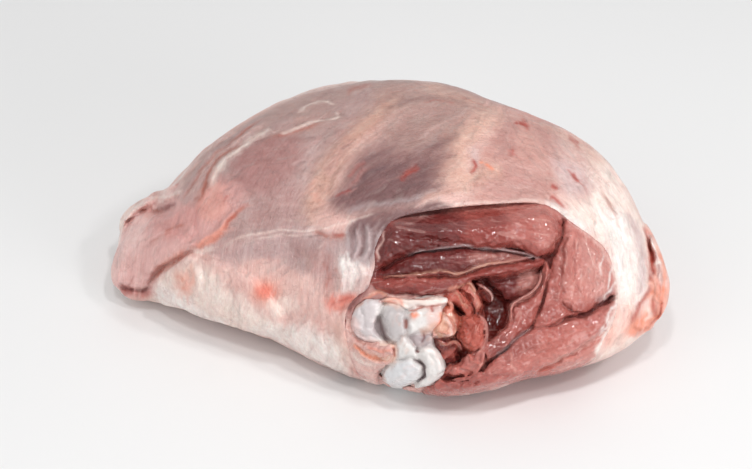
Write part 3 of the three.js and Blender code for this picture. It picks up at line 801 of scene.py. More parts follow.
        ("bloodRed", 2.4, 0.5, [(348, 368), (356, 372), (366, 378)]),
        ("tanFat", 5, 0.5, [(336, 318), (339, 345), (346, 370)]),
        ("blush", 4, 0.4, [(346, 330), (350, 350), (362, 372)]),
    ],
    # how the fibres and wrinkles run: place, degrees above the line to the right
    "runs": [
        (140, 265, 80), (150, 240, 40), (200, 205, 62), (215, 165, 55), (240, 150, 30), (262, 225, 12),
        (300, 112, 20), (270, 170, 8), (290, 200, 4), (330, 165, 45), (300, 232, 2), (390, 150, 38),
        (380, 190, 28), (430, 100, 12), (350, 245, 85), (470, 150, 62), (520, 185, 5), (540, 140, -60),
        (600, 190, -58), (632, 260, -84), (615, 345, -120), (250, 300, 75), (200, 290, 85), (310, 300, 70),
        (335, 345, 80), (250, 255, 20), (420, 195, 18), (350, 275, 82),
    ],
    "streaks": {
        "count": 4200, "length": (4, 28), "width": (0.5, 1.5), "strength": (0.2, 0.8), "height": 0.24,
        "tone": (0.72, 1.22), "tinted": 0.12,
        "seed": 77, "low": (112, 76), "high": (668, 395),
        "shades": ["whiteFat", "creamFat", "darkPurple", "rose", "mauve", "taupe", "tanFat", "lilac"],
    },
    "ground": "palePink",
}

# The cut face: one form for each muscle's end. Heights are over the skin line.
cutFace = {
    "step": 0.55,
    "low": (-30, -96, -2),
    "high": (122, -8, 84),
    "underRim": 8.0,         # sheet units that the cut face runs on under the fat cover
    "depth": 28.0,
    "between": -6.0,         # where no muscle is
    "underKnuckle": -9.0,
    "band": (24, 4),         # how far in and out of the mass the surface runs
    "smoothing": 0.6,
    "shredBlend": 1.6,
    "rimLevel": 0.3,         # at the cover's edge
    "rimFall": 0.35,         # from there outwards, for each sheet unit
    "rimWidth": 9.0,
    "waves": [(9.0, 0.5, 11), (3.2, 0.34, 12), (1.6, 0.30, 13)],
    "torn": {       # the shredded tissue beside the knuckle
        "outline": [
            (438, 296), (452, 284), (470, 279), (484, 282), (490, 296), (488, 316), (490, 342),
            (488, 360), (480, 374), (450, 384), (434, 378), (436, 350), (432, 334), (442, 316),
        ],
        "angle": 65, "stretch": (0.45, 0.8), "rim": 5, "tinted": 0.6,
        "height": 1.5, "ridges": [(4.2, 51, 1.0), (2.4, 52, 0.7)],      # size, seed, share
        "bumps": 1.6, "bumpSize": 3.4, "bumpSeed": 53,
    },
    "streaks": {
        "count": 1300, "length": (3, 13), "width": (0.5, 1.2), "strength": (0.2, 0.8), "height": 0.24,
        "tone": (0.65, 1.35), "tinted": 0.15,
        "seed": 78, "low": (366, 200), "high": (618, 400),
        "shades": ["paleMeat", "wine", "pinkMeat", "palePink", "meatRed", "brightMeat", "deepRedAndShadow"],
    },
    "hollows": [
        (-11.0, 5.0, [
            (440, 296), (455, 286), (470, 279), (488, 282), (503, 294), (510, 304), (508, 320), (500, 333),
            (487, 344), (486, 360), (466, 376), (445, 374), (436, 356), (434, 335), (440, 318),
        ]),
        (-14.0, 7.0, [
            (470, 281), (482, 280), (497, 290), (508, 303), (507, 318), (498, 330), (488, 338), (482, 326),
            (480, 310), (474, 294),
        ]),
    ],
    # level, crown, width of the rounded rim, meat, grain angle in degrees, outline
    "muscles": {
        "apron": (-2.6, 0.6, 6, "palePink", 10, [
            (346, 312), (356, 298), (372, 290), (400, 290), (440, 291), (452, 298), (452, 318), (440, 340),
            (449, 358), (450, 376), (438, 388), (414, 396), (380, 390), (354, 376), (344, 350),
        ]),
        "sideRound": (-4.5, 6, 20, "pinkMeat", 80, [
            (560, 230), (573, 217), (596, 230), (614, 248), (622, 275), (622, 290), (600, 303), (588, 314),
            (570, 318), (555, 326), (532, 328), (540, 310), (546, 292), (549, 275), (553, 256), (559, 243),
        ]),
        "lowerRound": (-4.0, 6, 16, "pinkMeat", 22, [
            (532, 328), (555, 326), (572, 319), (588, 317), (600, 308), (620, 298), (625, 314), (616, 334),
            (606, 352), (596, 370), (562, 382), (522, 392), (482, 402), (448, 406), (425, 398), (426, 386),
            (445, 376), (466, 376), (484, 366), (497, 357), (510, 348), (519, 337),
        ]),
        "hem": (-1.0, 2.4, 6, "brightMeat", 25, [
            (538, 370), (556, 360), (574, 351), (590, 341), (603, 331), (608, 334), (600, 350), (588, 364),
            (560, 374), (542, 378),
        ]),
        "smallInner": (-12.0, 6, 12, "wine", 10, [
            (486, 279), (505, 274), (533, 266), (544, 270), (542, 281), (535, 290), (520, 299), (508, 302),
            (500, 292),
        ]),
        "hookFlap": (-6.5, 6, 7, "pinkMeat", 60, [
            (545, 260), (550, 272), (547, 286), (542, 300), (537, 314), (531, 327), (519, 337), (509, 348),
            (495, 357), (482, 364), (484, 347), (498, 334), (508, 320), (511, 306), (522, 298), (535, 290),
            (541, 282), (541, 271),
        ]),
        "deepPad": (-10.5, 3.5, 8, "wine", 70, [
            (434, 338), (448, 338), (458, 344), (458, 358), (448, 368), (436, 360),
        ]),
        "finger": (-9.5, 9, 10, "brightMeat", 75, [
            (460, 320), (470, 314), (482, 317), (487, 330), (485, 346), (476, 354), (466, 349), (459, 337),
        ]),
        "lowerFinger": (-9.0, 7, 8, "pinkMeat", 40, [
            (470, 353), (482, 350), (487, 360), (481, 371), (468, 378), (450, 380), (438, 376), (446, 367),
            (460, 362),
        ]),
        "tornEdge": (-9.0, 6, 5, "brightMeat", 60, [
            (444, 296), (456, 287), (463, 290), (471, 300), (475, 312), (468, 317), (460, 308), (452, 303),
        ]),
        "tornRidge": (-9.0, 5, 4, "brightMeat", 60, [
            (457, 286), (468, 281), (475, 288), (481, 300), (479, 313), (472, 304), (466, 294),
        ]),
        "tornCurl": (-8.0, 5, 5, "rust", 80, [
            (440, 300), (450, 304), (458, 312), (463, 322), (457, 332), (448, 324), (443, 313),
        ]),
        "tornDeep": (-13.0, 5, 4, "meatRed", 70, [
            (475, 283), (484, 285), (491, 292), (493, 300), (487, 304), (480, 296),
        ]),
        "tornPale": (-5.0, 4, 4, "tissue", 60, [
            (440, 314), (450, 318), (456, 328), (455, 336), (443, 337), (436, 330),
        ]),
        "longBelly": (-8.0, 6, 12, "wine", 6, [
            (372, 276), (384, 266), (406, 254), (430, 249), (470, 246), (510, 249), (543, 258), (541, 263),
            (520, 264), (482, 270), (457, 278), (420, 280), (385, 282),
        ]),
        "foldedBelly": (-6.0, 7, 9, "meatRed", 8, [
            (369, 279), (388, 275), (420, 275), (457, 274), (482, 266), (520, 259), (543, 259), (540, 268),
            (505, 277), (475, 279), (455, 290), (432, 297), (405, 294), (380, 294), (370, 290),
        ]),
        "kneeTissue": (-2.0, 3.0, 10, "palePink", 60, [
            (344, 330), (356, 338), (372, 341), (392, 344), (400, 356), (392, 364), (380, 372), (376, 388),
            (354, 376), (344, 352),
        ]),
        "capTissue": (-2.6, 2.4, 6, "dustyRose", 20, [
            (346, 318), (350, 304), (360, 294), (368, 286), (378, 291), (388, 294), (382, 300), (366, 300),
            (356, 308), (352, 320),
        ]),
        "topRound": (-6.0, 9, 17, "meatRed", -14, [
            (380, 224), (394, 212), (420, 204), (440, 201), (482, 197), (510, 198), (532, 196), (553, 203),
            (563, 220), (561, 240), (550, 256), (537, 257), (515, 249), (480, 247), (448, 246), (428, 247),
            (402, 256), (380, 267), (374, 256), (377, 244),
        ]),
    },
    "creases": [
        (-1.8, 1.8, [(400, 233), (410, 237), (425, 238), (440, 240), (452, 243)]),
        (-1.2, 2.4, [(392, 238), (388, 250), (380, 258)]),
        (-0.8, 2.0, [(500, 214), (520, 220), (540, 232)]),
        (0.7, 3.0, [(420, 224), (450, 220), (490, 218), (520, 224)]),
        (-0.6, 1.6, [(561, 240), (553, 256), (548, 275), (546, 292)]),
        (1.8, 3.6, [(549, 268), (546, 290), (540, 310), (531, 327)]),
        (2.6, 4.5, [(492, 359), (508, 348), (522, 337), (538, 329), (560, 322), (588, 317), (608, 306)]),
        (1.4, 4.0, [(398, 223), (420, 215), (450, 211), (490, 209), (535, 207)]),
        (-1.0, 1.8, [(564, 238), (561, 260), (560, 280), (563, 296)]),
        (0.8, 2.0, [(567, 238), (566, 260), (566, 280)]),
        (-1.0, 1.6, [(573, 234), (572, 256), (574, 280), (579, 296)]),
        (-0.9, 1.8, [(586, 242), (592, 262), (594, 285), (588, 300)]),
        (-2.0, 1.5, [(560, 302), (568, 309), (578, 314), (587, 316)]),
        (-0.8, 1.2, [(587, 316), (598, 311), (610, 306)]),
        (0.9, 1.8, [(556, 296), (566, 303), (578, 307)]),
        (-0.8, 1.8, [(548, 328), (566, 319), (586, 318)]),
        (0.8, 2.0, [(550, 322), (566, 314), (584, 313)]),
        (-1.2, 1.6, [(538, 372), (556, 362), (574, 353), (590, 343), (604, 333)]),
        (-0.8, 1.4, [(490, 372), (510, 362), (530, 350), (552, 342)]),
        (-0.8, 1.4, [(470, 386), (490, 379), (512, 374)]),
        (-0.8, 1.4, [(540, 352), (560, 342), (580, 332)]),
        (-0.7, 1.2, [(531, 327), (519, 337), (508, 348), (492, 358)]),
        (-0.9, 1.4, [(385, 284), (410, 282), (440, 284), (462, 280)]),
        (-0.8, 1.2, [(480, 262), (505, 256), (530, 257)]),
        (-0.6, 1.4, [(410, 262), (440, 262), (462, 268)]),
        (-1.0, 1.6, [(448, 388), (462, 382), (480, 383)]),
        (-1.0, 1.4, [(514, 306), (513, 320), (506, 334), (492, 348)]),
        (-0.7, 1.6, [(496, 286), (512, 284), (528, 280)]),
        (-1.4, 1.4, [(464, 322), (470, 334), (470, 346)]),
        (-1.2, 1.2, [(455, 294), (463, 302), (468, 312)]),
        (-1.4, 1.6, [(350, 340), (362, 352), (376, 358), (390, 358)]),
        (-1.0, 1.4, [(348, 356), (360, 366), (374, 370)]),
        (0.9, 1.6, [(352, 346), (364, 357), (380, 364)]),
        (0.8, 1.6, [(360, 344), (374, 350), (390, 350)]),
        (-0.8, 1.3, [(356, 300), (368, 292), (380, 294)]),
    ],
    "shreds": {     # radius, height over the skin line, places
        "longestShred": (1.2, -4.5, [(452, 288), (458, 294), (463, 302), (469, 311), (467, 319), (461, 325)]),
        "innerShred": (1.1, -5.5, [(468, 284), (474, 294), (478, 304), (476, 314)]),
        "deepShred": (0.9, -7.0, [(476, 283), (484, 287), (491, 294), (492, 302)]),
        "fingerEdge": (0.9, -2.0, [(478, 314), (485, 322), (487, 334), (484, 347), (476, 354)]),
        "crossShred": (0.9, -3.0, [(448, 290), (460, 284), (470, 283), (476, 292)]),
        "lowCurl": (0.9, -3.0, [(438, 340), (446, 344), (456, 342), (462, 350)]),
        "kneeShred": (1.2, -4.5, [(444, 312), (449, 320), (451, 330), (446, 338)]),
        "thinShred": (1.0, -4.5, [(446, 296), (455, 299), (463, 306)]),
        "curledShred": (1.0, -4.0, [(446, 300), (452, 306), (450, 316), (454, 324)]),
        "silverEdge": (0.7, 0.4, [(541, 270), (540, 281), (533, 291), (520, 299), (512, 306), (511, 320)]),
        "skinLine": (0.7, -2.4, [(405, 254), (430, 249), (470, 246), (518, 252), (541, 259)]),
        "foldRidge": (0.8, 0.4, [
            (382, 276), (420, 275), (445, 272), (457, 274), (480, 266), (520, 259), (533, 257),
        ]),
        "tick": (0.7, 0.8, [(512, 352), (514, 364), (516, 375)]),
        "hangingShred": (0.9, -1.0, [(484, 352), (481, 364), (474, 374)]),
        "lowShred": (0.9, -1.0, [(452, 380), (468, 378), (482, 372)]),
    },
    "areas": [
        ("wine", 4, 0.9, [
            (378, 232), (398, 220), (440, 212), (462, 216), (462, 236), (450, 246), (402, 254), (380, 264),
        ]),
        ("deepWine", 5, 0.6, [
            (378, 240), (396, 228), (430, 222), (448, 230), (438, 246), (402, 254), (380, 264),
        ]),
        ("deepWine", 4, 0.5, [(400, 262), (440, 256), (458, 266), (440, 274), (404, 276), (384, 276)]),
        ("greyPurple", 3, 0.5, [(392, 220), (420, 210), (470, 206), (440, 214), (404, 224)]),
        ("pinkMeat", 9, 0.8, [(508, 208), (550, 210), (560, 226), (555, 250), (530, 250), (512, 238)]),
        ("paleMeat", 6, 0.4, [(535, 216), (550, 220), (554, 240), (545, 248), (534, 236)]),
        ("paleMeat", 8, 0.5, [
            (568, 230), (600, 250), (610, 285), (596, 304), (576, 304), (560, 300), (556, 270), (562, 244),
        ]),
        ("paleMeat", 8, 0.4, [(530, 352), (560, 342), (588, 328), (600, 334), (580, 356), (540, 370)]),
        ("palePink", 6, 0.35, [(580, 240), (598, 254), (606, 280), (596, 298), (586, 280)]),
        ("meatRed", 6, 0.35, [(556, 312), (590, 304), (584, 316), (556, 324)]),
        ("meatRed", 5, 0.45, [(553, 250), (566, 245), (566, 290), (552, 300)]),
        ("meatRed", 5, 0.35, [(540, 305), (560, 308), (556, 322), (538, 326)]),
        ("brightMeat", 5, 0.3, [(384, 282), (420, 280), (440, 279), (430, 284), (400, 286)]),
        ("wine", 4, 0.6, [(380, 288), (404, 286), (440, 286), (456, 282), (446, 294), (404, 296)]),
        ("wine", 4, 0.5, [(436, 254), (462, 252), (476, 264), (460, 272), (440, 264)]),
        # pale patches where the wet meat shines: the meat's paler tone with painted sheen over it
        ("paleMeat", 4, 0.55, [(474, 252), (515, 253), (524, 259), (484, 265), (470, 261)]),
        ("paleMeat", 4, 0.75, [(522, 272), (540, 272), (538, 284), (524, 292), (516, 288)]),
        ("brightMeat", 8, 0.35, [(520, 350), (570, 330), (590, 330), (560, 350), (525, 368)]),
        ("wine", 6, 0.4, [(500, 345), (530, 335), (540, 345), (510, 362)]),
        # darkest in the deepest part of the hollow: painted shade
        ("deepRedAndShadow", 5, 0.6, [
            (484, 288), (500, 292), (508, 304), (506, 320), (496, 334), (486, 338), (482, 318),
        ]),
        ("meatRed", 6, 0.5, [(440, 380), (480, 372), (510, 374), (470, 390), (435, 394)]),
        ("paleMeat", 5, 0.6, [(556, 362), (590, 344), (598, 346), (586, 362), (556, 373)]),
        ("wine", 4, 0.6, [(484, 348), (500, 336), (508, 340), (494, 356)]),
        ("meatRed", 4, 0.5, [(514, 304), (536, 292), (532, 318), (512, 340), (500, 344)]),
    ],
    "strokes": [
        ("tissue", 3.0, 0.8, [(350, 342), (362, 353), (376, 358), (392, 357)]),
        ("orangeFat", 1.6, 0.6, [(352, 344), (364, 354), (378, 358)]),
        ("orangeFat", 2.2, 0.5, [(366, 346), (378, 350), (390, 349)]),
        ("creamFat", 2.2, 0.8, [(348, 350), (360, 362), (376, 368)]),
        ("rust", 1.5, 0.5, [(352, 338), (362, 342), (374, 344)]),
        ("bloodRed", 1.6, 0.6, [(350, 370), (358, 373), (367, 379)]),
        ("creamFat", 2.5, 0.9, [(356, 376), (368, 384), (380, 388)]),
        ("palePink", 5, 0.8, [(600, 243), (612, 262), (618, 285), (618, 303), (611, 324), (602, 342)]),
        ("creamFat", 3.0, 0.9, [(612, 262), (618, 285), (618, 306), (612, 324), (602, 342), (592, 360)]),
        ("paleMeat", 4, 0.7, [(566, 226), (580, 230), (596, 242), (608, 258)]),
        ("paleMeat", 4.0, 0.5, [(440, 211), (482, 208), (530, 206), (552, 212), (564, 222)]),
        ("palePink", 1.2, 0.5, [(482, 204), (530, 202), (554, 208), (574, 225), (590, 238)]),
        ("creamFat", 2.5, 0.6, [(444, 399), (480, 394), (520, 384), (545, 378)]),
        ("silver", 1.6, 0.95, [(405, 253), (430, 249), (470, 246), (518, 252), (541, 259)]),
        ("tissue", 1.3, 0.7, [(382, 276), (420, 274), (445, 271), (457, 273), (480, 265), (520, 258)]),
        ("paleMeat", 1.8, 0.9, [(541, 270), (540, 281), (533, 291), (520, 299), (512, 306), (511, 322)]),
        ("lilac", 1.3, 0.7, [(530, 327), (519, 336), (508, 348), (492, 358)]),
        ("palePink", 1.3, 0.8, [(382, 230), (383, 240), (377, 250), (378, 262)]),
        ("tissue", 1.6, 0.7, [(452, 288), (458, 294), (463, 302), (469, 311)]),
        ("orangeFat", 2.0, 0.6, [(444, 300), (450, 304), (452, 314), (450, 328)]),
        ("tissue", 1.5, 0.8, [(448, 312), (455, 318), (450, 330), (446, 338)]),
        ("tissue", 1.3, 0.7, [(468, 284), (474, 293), (478, 304), (476, 313)]),
        ("palePink", 1.2, 0.8, [(477, 284), (485, 287), (492, 295), (492, 303)]),
        ("tissue", 1.3, 0.8, [(448, 290), (460, 284), (470, 283), (476, 292)]),
        ("blush", 1.6, 0.8, [(446, 300), (452, 306), (450, 316), (454, 324)]),
        # pale along the finger's edge: the edge's paler tone with a painted highlight
        ("paleMeat", 1.6, 0.9, [(478, 314), (485, 322), (487, 334), (484, 347), (476, 354)]),
        ("tissue", 1.3, 0.6, [(438, 340), (446, 344), (456, 342), (462, 350)]),
        ("paleMeat", 2.4, 0.6, [(466, 290), (473, 294), (476, 303), (474, 311)]),
        ("orangeFat", 2.2, 0.6, [(449, 322), (452, 330), (446, 335)]),
        ("creamFat", 2.2, 0.8, [(444, 318), (450, 324), (452, 333), (444, 336)]),
        ("paleMeat", 1.4, 0.8, [(470, 353), (480, 351), (486, 359), (481, 370)]),
        # pale along the finger's edge: painted highlight
        ("paleMeat", 2.0, 0.6, [(482, 318), (486, 331), (484, 346)]),
        ("paleMeat", 1.2, 0.9, [(512, 352), (514, 364), (516, 375)]),
        # these five strokes paint shade into grooves: between the top and side muscles, under the side
        # muscle's fold, under the top muscle and down the crevice beside the knuckle
        ("meatRed", 2.0, 0.5, [(561, 240), (553, 256), (548, 275)]),
        ("deepRedAndShadow", 1.4, 0.6, [(561, 302), (569, 309), (579, 314)]),
        ("deepRedAndShadow", 1.6, 0.6, [(400, 233), (412, 237), (430, 238), (450, 242)]),
        ("deepRedAndShadow", 2.2, 0.8, [(366, 272), (374, 264), (384, 260)]),
        ("wine", 2.6, 0.7, [(370, 276), (364, 288), (356, 300), (349, 311)]),
        ("tissue", 2.0, 0.7, [(366, 296), (376, 292), (388, 296)]),
        ("blush", 1.6, 0.6, [(362, 300), (372, 294), (384, 293)]),
        # painted shade under the lower edge of the top muscle
        ("deepRedAndShadow", 1.5, 0.7, [(515, 249), (530, 253), (545, 257)]),
        ("silver", 3.0, 0.6, [(596, 303), (606, 296), (613, 285)]),
        ("whiteFat", 1.2, 0.7, [(614, 262), (608, 276), (606, 290)]),
        ("whiteFat", 1.0, 0.7, [(617, 280), (609, 290), (604, 300)]),
        ("whiteFat", 1.4, 0.8, [(618, 300), (610, 312), (606, 326)]),
        ("whiteFat", 1.2, 0.7, [(616, 316), (606, 326), (598, 336)]),
        ("whiteFat", 1.4, 0.8, [(612, 330), (602, 342), (596, 356)]),
        ("creamFat", 1.6, 0.8, [(604, 346), (594, 358), (584, 366)]),
        ("whiteFat", 1.0, 0.6, [(608, 250), (600, 262), (600, 276)]),
        ("palePink", 2.0, 0.7, [(574, 224), (590, 236), (604, 250), (612, 266)]),
        ("palePink", 1.0, 0.6, [(586, 236), (590, 256), (596, 270)]),
        ("palePink", 1.3, 0.5, [(545, 366), (560, 358), (575, 350), (590, 340), (601, 332)]),
    ],
    "ground": "wine",
}

# The knuckle at the cut end of the leg bone, with its gristle.
knuckle = {
    "step": 0.5,
    "low": (-26, -92, 0),
    "high": (40, -40, 68),
    "floor": -3.2,
    "outside": -20.2,
    "rim": 2.5,
    "band": (22, 4),
    "smoothing": 0.7,
    "depth": 18.0,
    "outline": [
        (354, 304), (364, 298), (380, 297), (404, 296), (430, 296), (446, 297), (449, 306), (444, 322),
        (436, 334), (437, 346), (445, 358), (445, 370), (440, 378), (428, 386), (412, 389), (396, 389),
        (383, 381), (378, 371), (388, 358), (386, 345), (368, 342), (354, 334), (350, 322),
    ],
    "waves": [(8.0, 0.5, 21), (3.0, 0.4, 22), (1.5, 0.18, 23)],
    # level, crown, width of the rounded rim, outline
    "forms": {
        "leftFace": (-3.2, 4.4, 8, [
            (352, 312), (358, 302), (366, 297), (376, 298), (382, 302), (382, 312), (378, 320), (377, 332),
            (385, 341), (372, 343), (360, 339), (350, 331), (349, 321),
        ]),
        "topStrip": (-2.0, 2.6, 4, [
            (380, 300), (392, 297), (404, 299), (418, 296), (436, 296), (447, 297), (449, 304), (438, 308),
            (420, 307), (404, 308), (390, 306),
        ]),
        "block": (-3.2, 4.8, 9, [
            (382, 307), (392, 306), (404, 308), (409, 314), (409, 330), (402, 339), (390, 340), (384, 330),
        ]),
        "whiteBlock": (-3.0, 4.4, 7, [
            (407, 310), (414, 306), (430, 307), (443, 308), (444, 322), (437, 330), (424, 330), (410, 336),
            (406, 326),
        ]),
        "bridge": (-2.6, 3.2, 8, [
            (397, 337), (404, 336), (412, 342), (420, 346), (421, 352), (424, 356), (414, 362), (398, 363),
            (393, 352),
        ]),
        "knob": (-4.5, 3.0, 6, [(410, 335), (422, 331), (435, 334), (434, 345), (424, 349), (413, 345)]),
        "rim": (-3.2, 5.0, 7, [
            (416, 351), (425, 346), (437, 347), (442, 356), (446, 368), (441, 377), (432, 384), (424, 388),
            (414, 390), (419, 380), (425, 372), (423, 363),
        ]),
        "ball": (-3.4, 6.0, 13, [
            (384, 372), (391, 362), (402, 358), (415, 358), (423, 363), (425, 371), (419, 381), (410, 388),
            (398, 390), (388, 387), (381, 380),
        ]),
        "fatFold": (-2.4, 2.6, 5, [(376, 343), (388, 342), (397, 348), (396, 358), (388, 364), (378, 358)]),
    },
    "creases": [
        (-3.0, 2.0, [(380, 315), (379, 325), (382, 335), (386, 341)]),
        (-1.4, 1.2, [(350, 331), (360, 333), (372, 336), (381, 341)]),
        (0.9, 1.8, [(350, 326), (362, 328), (374, 330)]),
        (-1.5, 1.4, [(405, 317), (407, 322), (407, 328)]),
        (-1.2, 1.4, [(410, 310), (409, 320), (411, 332)]),
        (-1.8, 1.3, [(414, 359), (421, 362), (425, 368), (423, 376), (417, 382)]),
        (0.7, 1.6, [(411, 364), (418, 368), (418, 375), (412, 381)]),
        (-2.6, 1.8, [(415, 348), (420, 351), (424, 349)]),
        (-1.1, 1.6, [(356, 330), (364, 334), (370, 340)]),
        (-1.3, 1.2, [(408, 307), (416, 309), (424, 306)]),
        (-1.0, 1.2, [(388, 301), (400, 304), (412, 303)]),
        (0.8, 1.4, [(400, 300), (420, 301), (440, 301)]),
        (-1.0, 1.0, [(410, 298), (422, 299), (434, 298)]),
        (-1.2, 1.3, [(431, 307), (432, 313)]),
        (-1.2, 1.8, [(422, 331), (424, 337), (420, 342)]),
        (-0.8, 1.5, [(362, 306), (366, 318), (364, 328)]),
        (-1.6, 1.4, [(391, 345), (392, 355), (388, 362)]),
        (-0.9, 1.2, [(376, 350), (386, 350), (393, 348)]),
        (-0.7, 1.4, [(428, 352), (436, 362), (438, 372)]),
        (-0.8, 1.2, [(386, 374), (392, 382), (402, 387)]),
    ],
    "areas": [
        ("paleLilac", 4, 0.9, [
            (352, 310), (366, 298), (380, 300), (378, 318), (378, 334), (364, 340), (350, 330),
        ]),
        ("ashGristle", 4, 0.9, [(383, 309), (404, 308), (410, 316), (409, 332), (390, 340), (384, 330)]),
        ("shadeGristle", 5, 0.35, [(384, 310), (404, 308), (410, 320), (406, 338), (390, 340), (383, 328)]),
        ("blueGristle", 4, 0.8, [(386, 372), (402, 360), (419, 366), (417, 380), (400, 388), (387, 384)]),
        ("shadeGristle", 3, 0.9, [(410, 334), (434, 332), (433, 345), (424, 348), (413, 345)]),
        ("palePink", 3, 0.5, [(350, 318), (358, 318), (364, 334), (380, 340), (366, 343), (351, 334)]),
        ("tissue", 3, 0.8, [(384, 298), (404, 300), (402, 307), (386, 306)]),
        ("creamFat", 3, 0.8, [(402, 298), (446, 297), (447, 304), (414, 306), (400, 305)]),
        ("tissue", 3, 0.8, [(376, 343), (392, 342), (397, 352), (392, 362), (378, 360)]),
        ("palePink", 3, 0.6, [(428, 308), (444, 308), (444, 326), (434, 332), (428, 320)]),
        ("ashGristle", 3, 0.4, [(397, 352), (414, 352), (416, 360), (398, 362)]),
    ],
    "streaks": {
        "count": 330, "length": (3, 12), "width": (0.6, 1.8), "strength": (0.2, 0.8), "height": 0.28,
        "tone": (0.85, 1.1), "tinted": 0.3,
        "seed": 79, "low": (346, 292), "high": (450, 394),
        "shades": ["gristle", "shadeGristle", "palePink", "tissue", "whiteFat", "paleLilac", "ashGristle"],
    },
    "runs": [(362, 316, 75), (395, 322, 80), (425, 318, 10), (420, 302, 2), (385, 352, 0), (405, 348, 80),
             (400, 372, 20), (436, 364, -65), (424, 340, 30)],
    "strokes": [
        # these three strokes paint shade into the gap between the left face and the block and into the groove
        # under the left face
        ("darkPurple", 2.4, 0.8, [(380, 316), (380, 325), (382, 334), (386, 341)]),
        ("shadeGristle", 4.0, 0.6, [(376, 320), (377, 330), (381, 337)]),
        ("shadeGristle", 1.6, 0.7, [(352, 334), (360, 337), (366, 343)]),
        ("orangeFat", 3.0, 0.9, [(411, 311), (415, 315), (419, 311)]),
        ("rust", 1.2, 0.8, [(408, 308), (416, 309), (424, 307)]),
        ("rust", 2.0, 0.7, [(406, 318), (407, 323), (407, 328)]),
        ("bloodRed", 1.4, 0.6, [(378, 300), (388, 303), (398, 305)]),
        ("blush", 2.0, 0.7, [(386, 298), (398, 300), (404, 306)]),
        ("rust", 1.2, 0.8, [(410, 298), (420, 299), (430, 298)]),
        ("rust", 1.3, 0.7, [(416, 306), (430, 307), (443, 305)]),
        ("bloodRed", 1.4, 0.7, [(431, 307), (433, 313)]),
        # painted shade in the pit above the rim
        ("wine", 2.0, 0.9, [(417, 349), (420, 352)]),
        ("orangeFat", 2.5, 0.8, [(441, 312), (442, 322), (437, 330)]),
        ("tissue", 3, 0.6, [(420, 331), (430, 329), (438, 325)]),
        # these two strokes paint shade into the creases beside the knob and between the ball and the rim
        ("wine", 1.6, 0.6, [(423, 331), (425, 337), (422, 342)]),
        ("shadeGristle", 1.6, 1.0, [(414, 359), (421, 362), (425, 368), (423, 376), (417, 382)]),
        ("rust", 2.0, 0.6, [(391, 346), (393, 357)]),
        ("blush", 1.4, 0.6, [(376, 349), (386, 349), (393, 346)]),
        ("tissue", 2.0, 0.6, [(350, 312), (356, 306), (364, 300)]),
        ("whiteFat", 1.6, 0.8, [(420, 350), (430, 349), (438, 352), (444, 366)]),
        ("tanFat", 1.4, 0.6, [(376, 372), (382, 376), (387, 383)]),
    ],
    "ground": "gristle",
}


# The hidden sides repeat the front's bands and wrinkles, turned round and pulled out of shape.
hiddenSide = {
    "moved": (-16, 22, 0),
    "pulledAcross": (26, 60.0, 33),     # sheet units, size in millimetres, seed
    "pulledDown": (18, 48.0, 34),
    "relief": 0.8,                      # of the front's relief
    "clouds": {"stretch": (0.5, 1, 1.4), "size": 34.0, "seed": 31, "strength": 0.45},
}


def hiddenPlace(points):
    far = points * (-1, -1, 1) + hiddenSide["moved"]
    sheetX, sheetY, _ = onSheet(*far.T)
    shifts = [
        reach * unevenness(points, size, seed)
        for reach, size, seed in (hiddenSide["pulledAcross"], hiddenSide["pulledDown"])
    ]
    return sheetX + shifts[0], sheetY + shifts[1]


def hiddenColour(points, layer):
    look = hiddenSide["clouds"]
    clouds = smoothStep(-0.3, 0.5, unevenness(points * look["stretch"], look["size"], look["seed"]))
    share = look["strength"] * clouds[:, None]
    return layer.at(*hiddenPlace(points)) * (1 - share) + colour("creamFat") * share


# Lines drawn on the sheet wander a little, as grown edges do.
wandering = [(11.0, 2.2, 41), (4.5, 1.3, 43), (1.8, 0.6, 45)]     # size in millimetres, sheet units, seed
tornWandering = wandering + [(2.6, 1.2, 47), (1.2, 0.5, 49)]


def wandered(points, sheetX, sheetY, reaches=wandering):
    shiftX = sum(reach * unevenness(points, size, seed) for size, reach, seed in reaches)
    shiftY = sum(reach * unevenness(points, size, seed + 1) for size, reach, seed in reaches)
    return sheetX + shiftX, sheetY + shiftY


def wander(block, reaches=wandering):
    return wandered(block.places, block.sheetX, block.sheetY, reaches)


def waves(points, work):
    return sum(height * unevenness(points, size, seed) for size, height, seed in work)


def rodsOn(strokes):
    curves, radii = [], []
    for radius, height, points in strokes:
        curve = onMass(smoothCurve(points, False, 4), height)
        share = np.linspace(0, 1, len(curve))
        ends = np.clip(np.minimum(share, 1 - share) * 5 + 0.15, 0, 1) ** 0.5
        curves.append(curve)
        radii.append(radius * ends)
    return curves, radii


def outlineLayer(outline):
    # How far inside an outline each place of the sheet lies, in sheet units, below 0 outside it.
    layer = Layer(-30.0)
    window, _, _, gap = insideDistance(outline, 20)
    layer.cells[window] = gap[..., None]
    return layer


def coverLayers():
    forms, shades = Layer(0.0), Layer(colour(cover["ground"]))
    fillAreas(shades, cover["areas"])
    drawStrokes(shades, cover["strokes"])
    for height, width, outline in cover["swells"]:
        window, _, _, gap = insideDistance(outline, 2)
        forms.cells[window] += (height * np.sqrt(smoothStep(0, width, gap)))[..., None]
    carve(forms, cover["creases"])
    streakIn(shades, forms, cover["streaks"], lambda x, y: runAt(x, y, cover["runs"]))
    forms.soften(cover["smoothing"])
    return forms, shades


def coverHeight(forms, block):
    height = forms.at(*wander(block)) * smoothStep(0.0, cover["turnedSoft"], block.facing)
    away = block.facing < 0
    hidden = hiddenSide["relief"] * smoothStep(0.0, cover["turnedSoft"], -block.facing[away])
    height[away] += forms.at(*hiddenPlace(block.places[away])) * hidden
    height += waves(block.places, cover["waves"])
    fibres = grainOf(block.places)
    for size, rise, seed in cover["wrinkles"]:
        height += rise * unevenness(fibres / size, 1.0, seed)
    return height


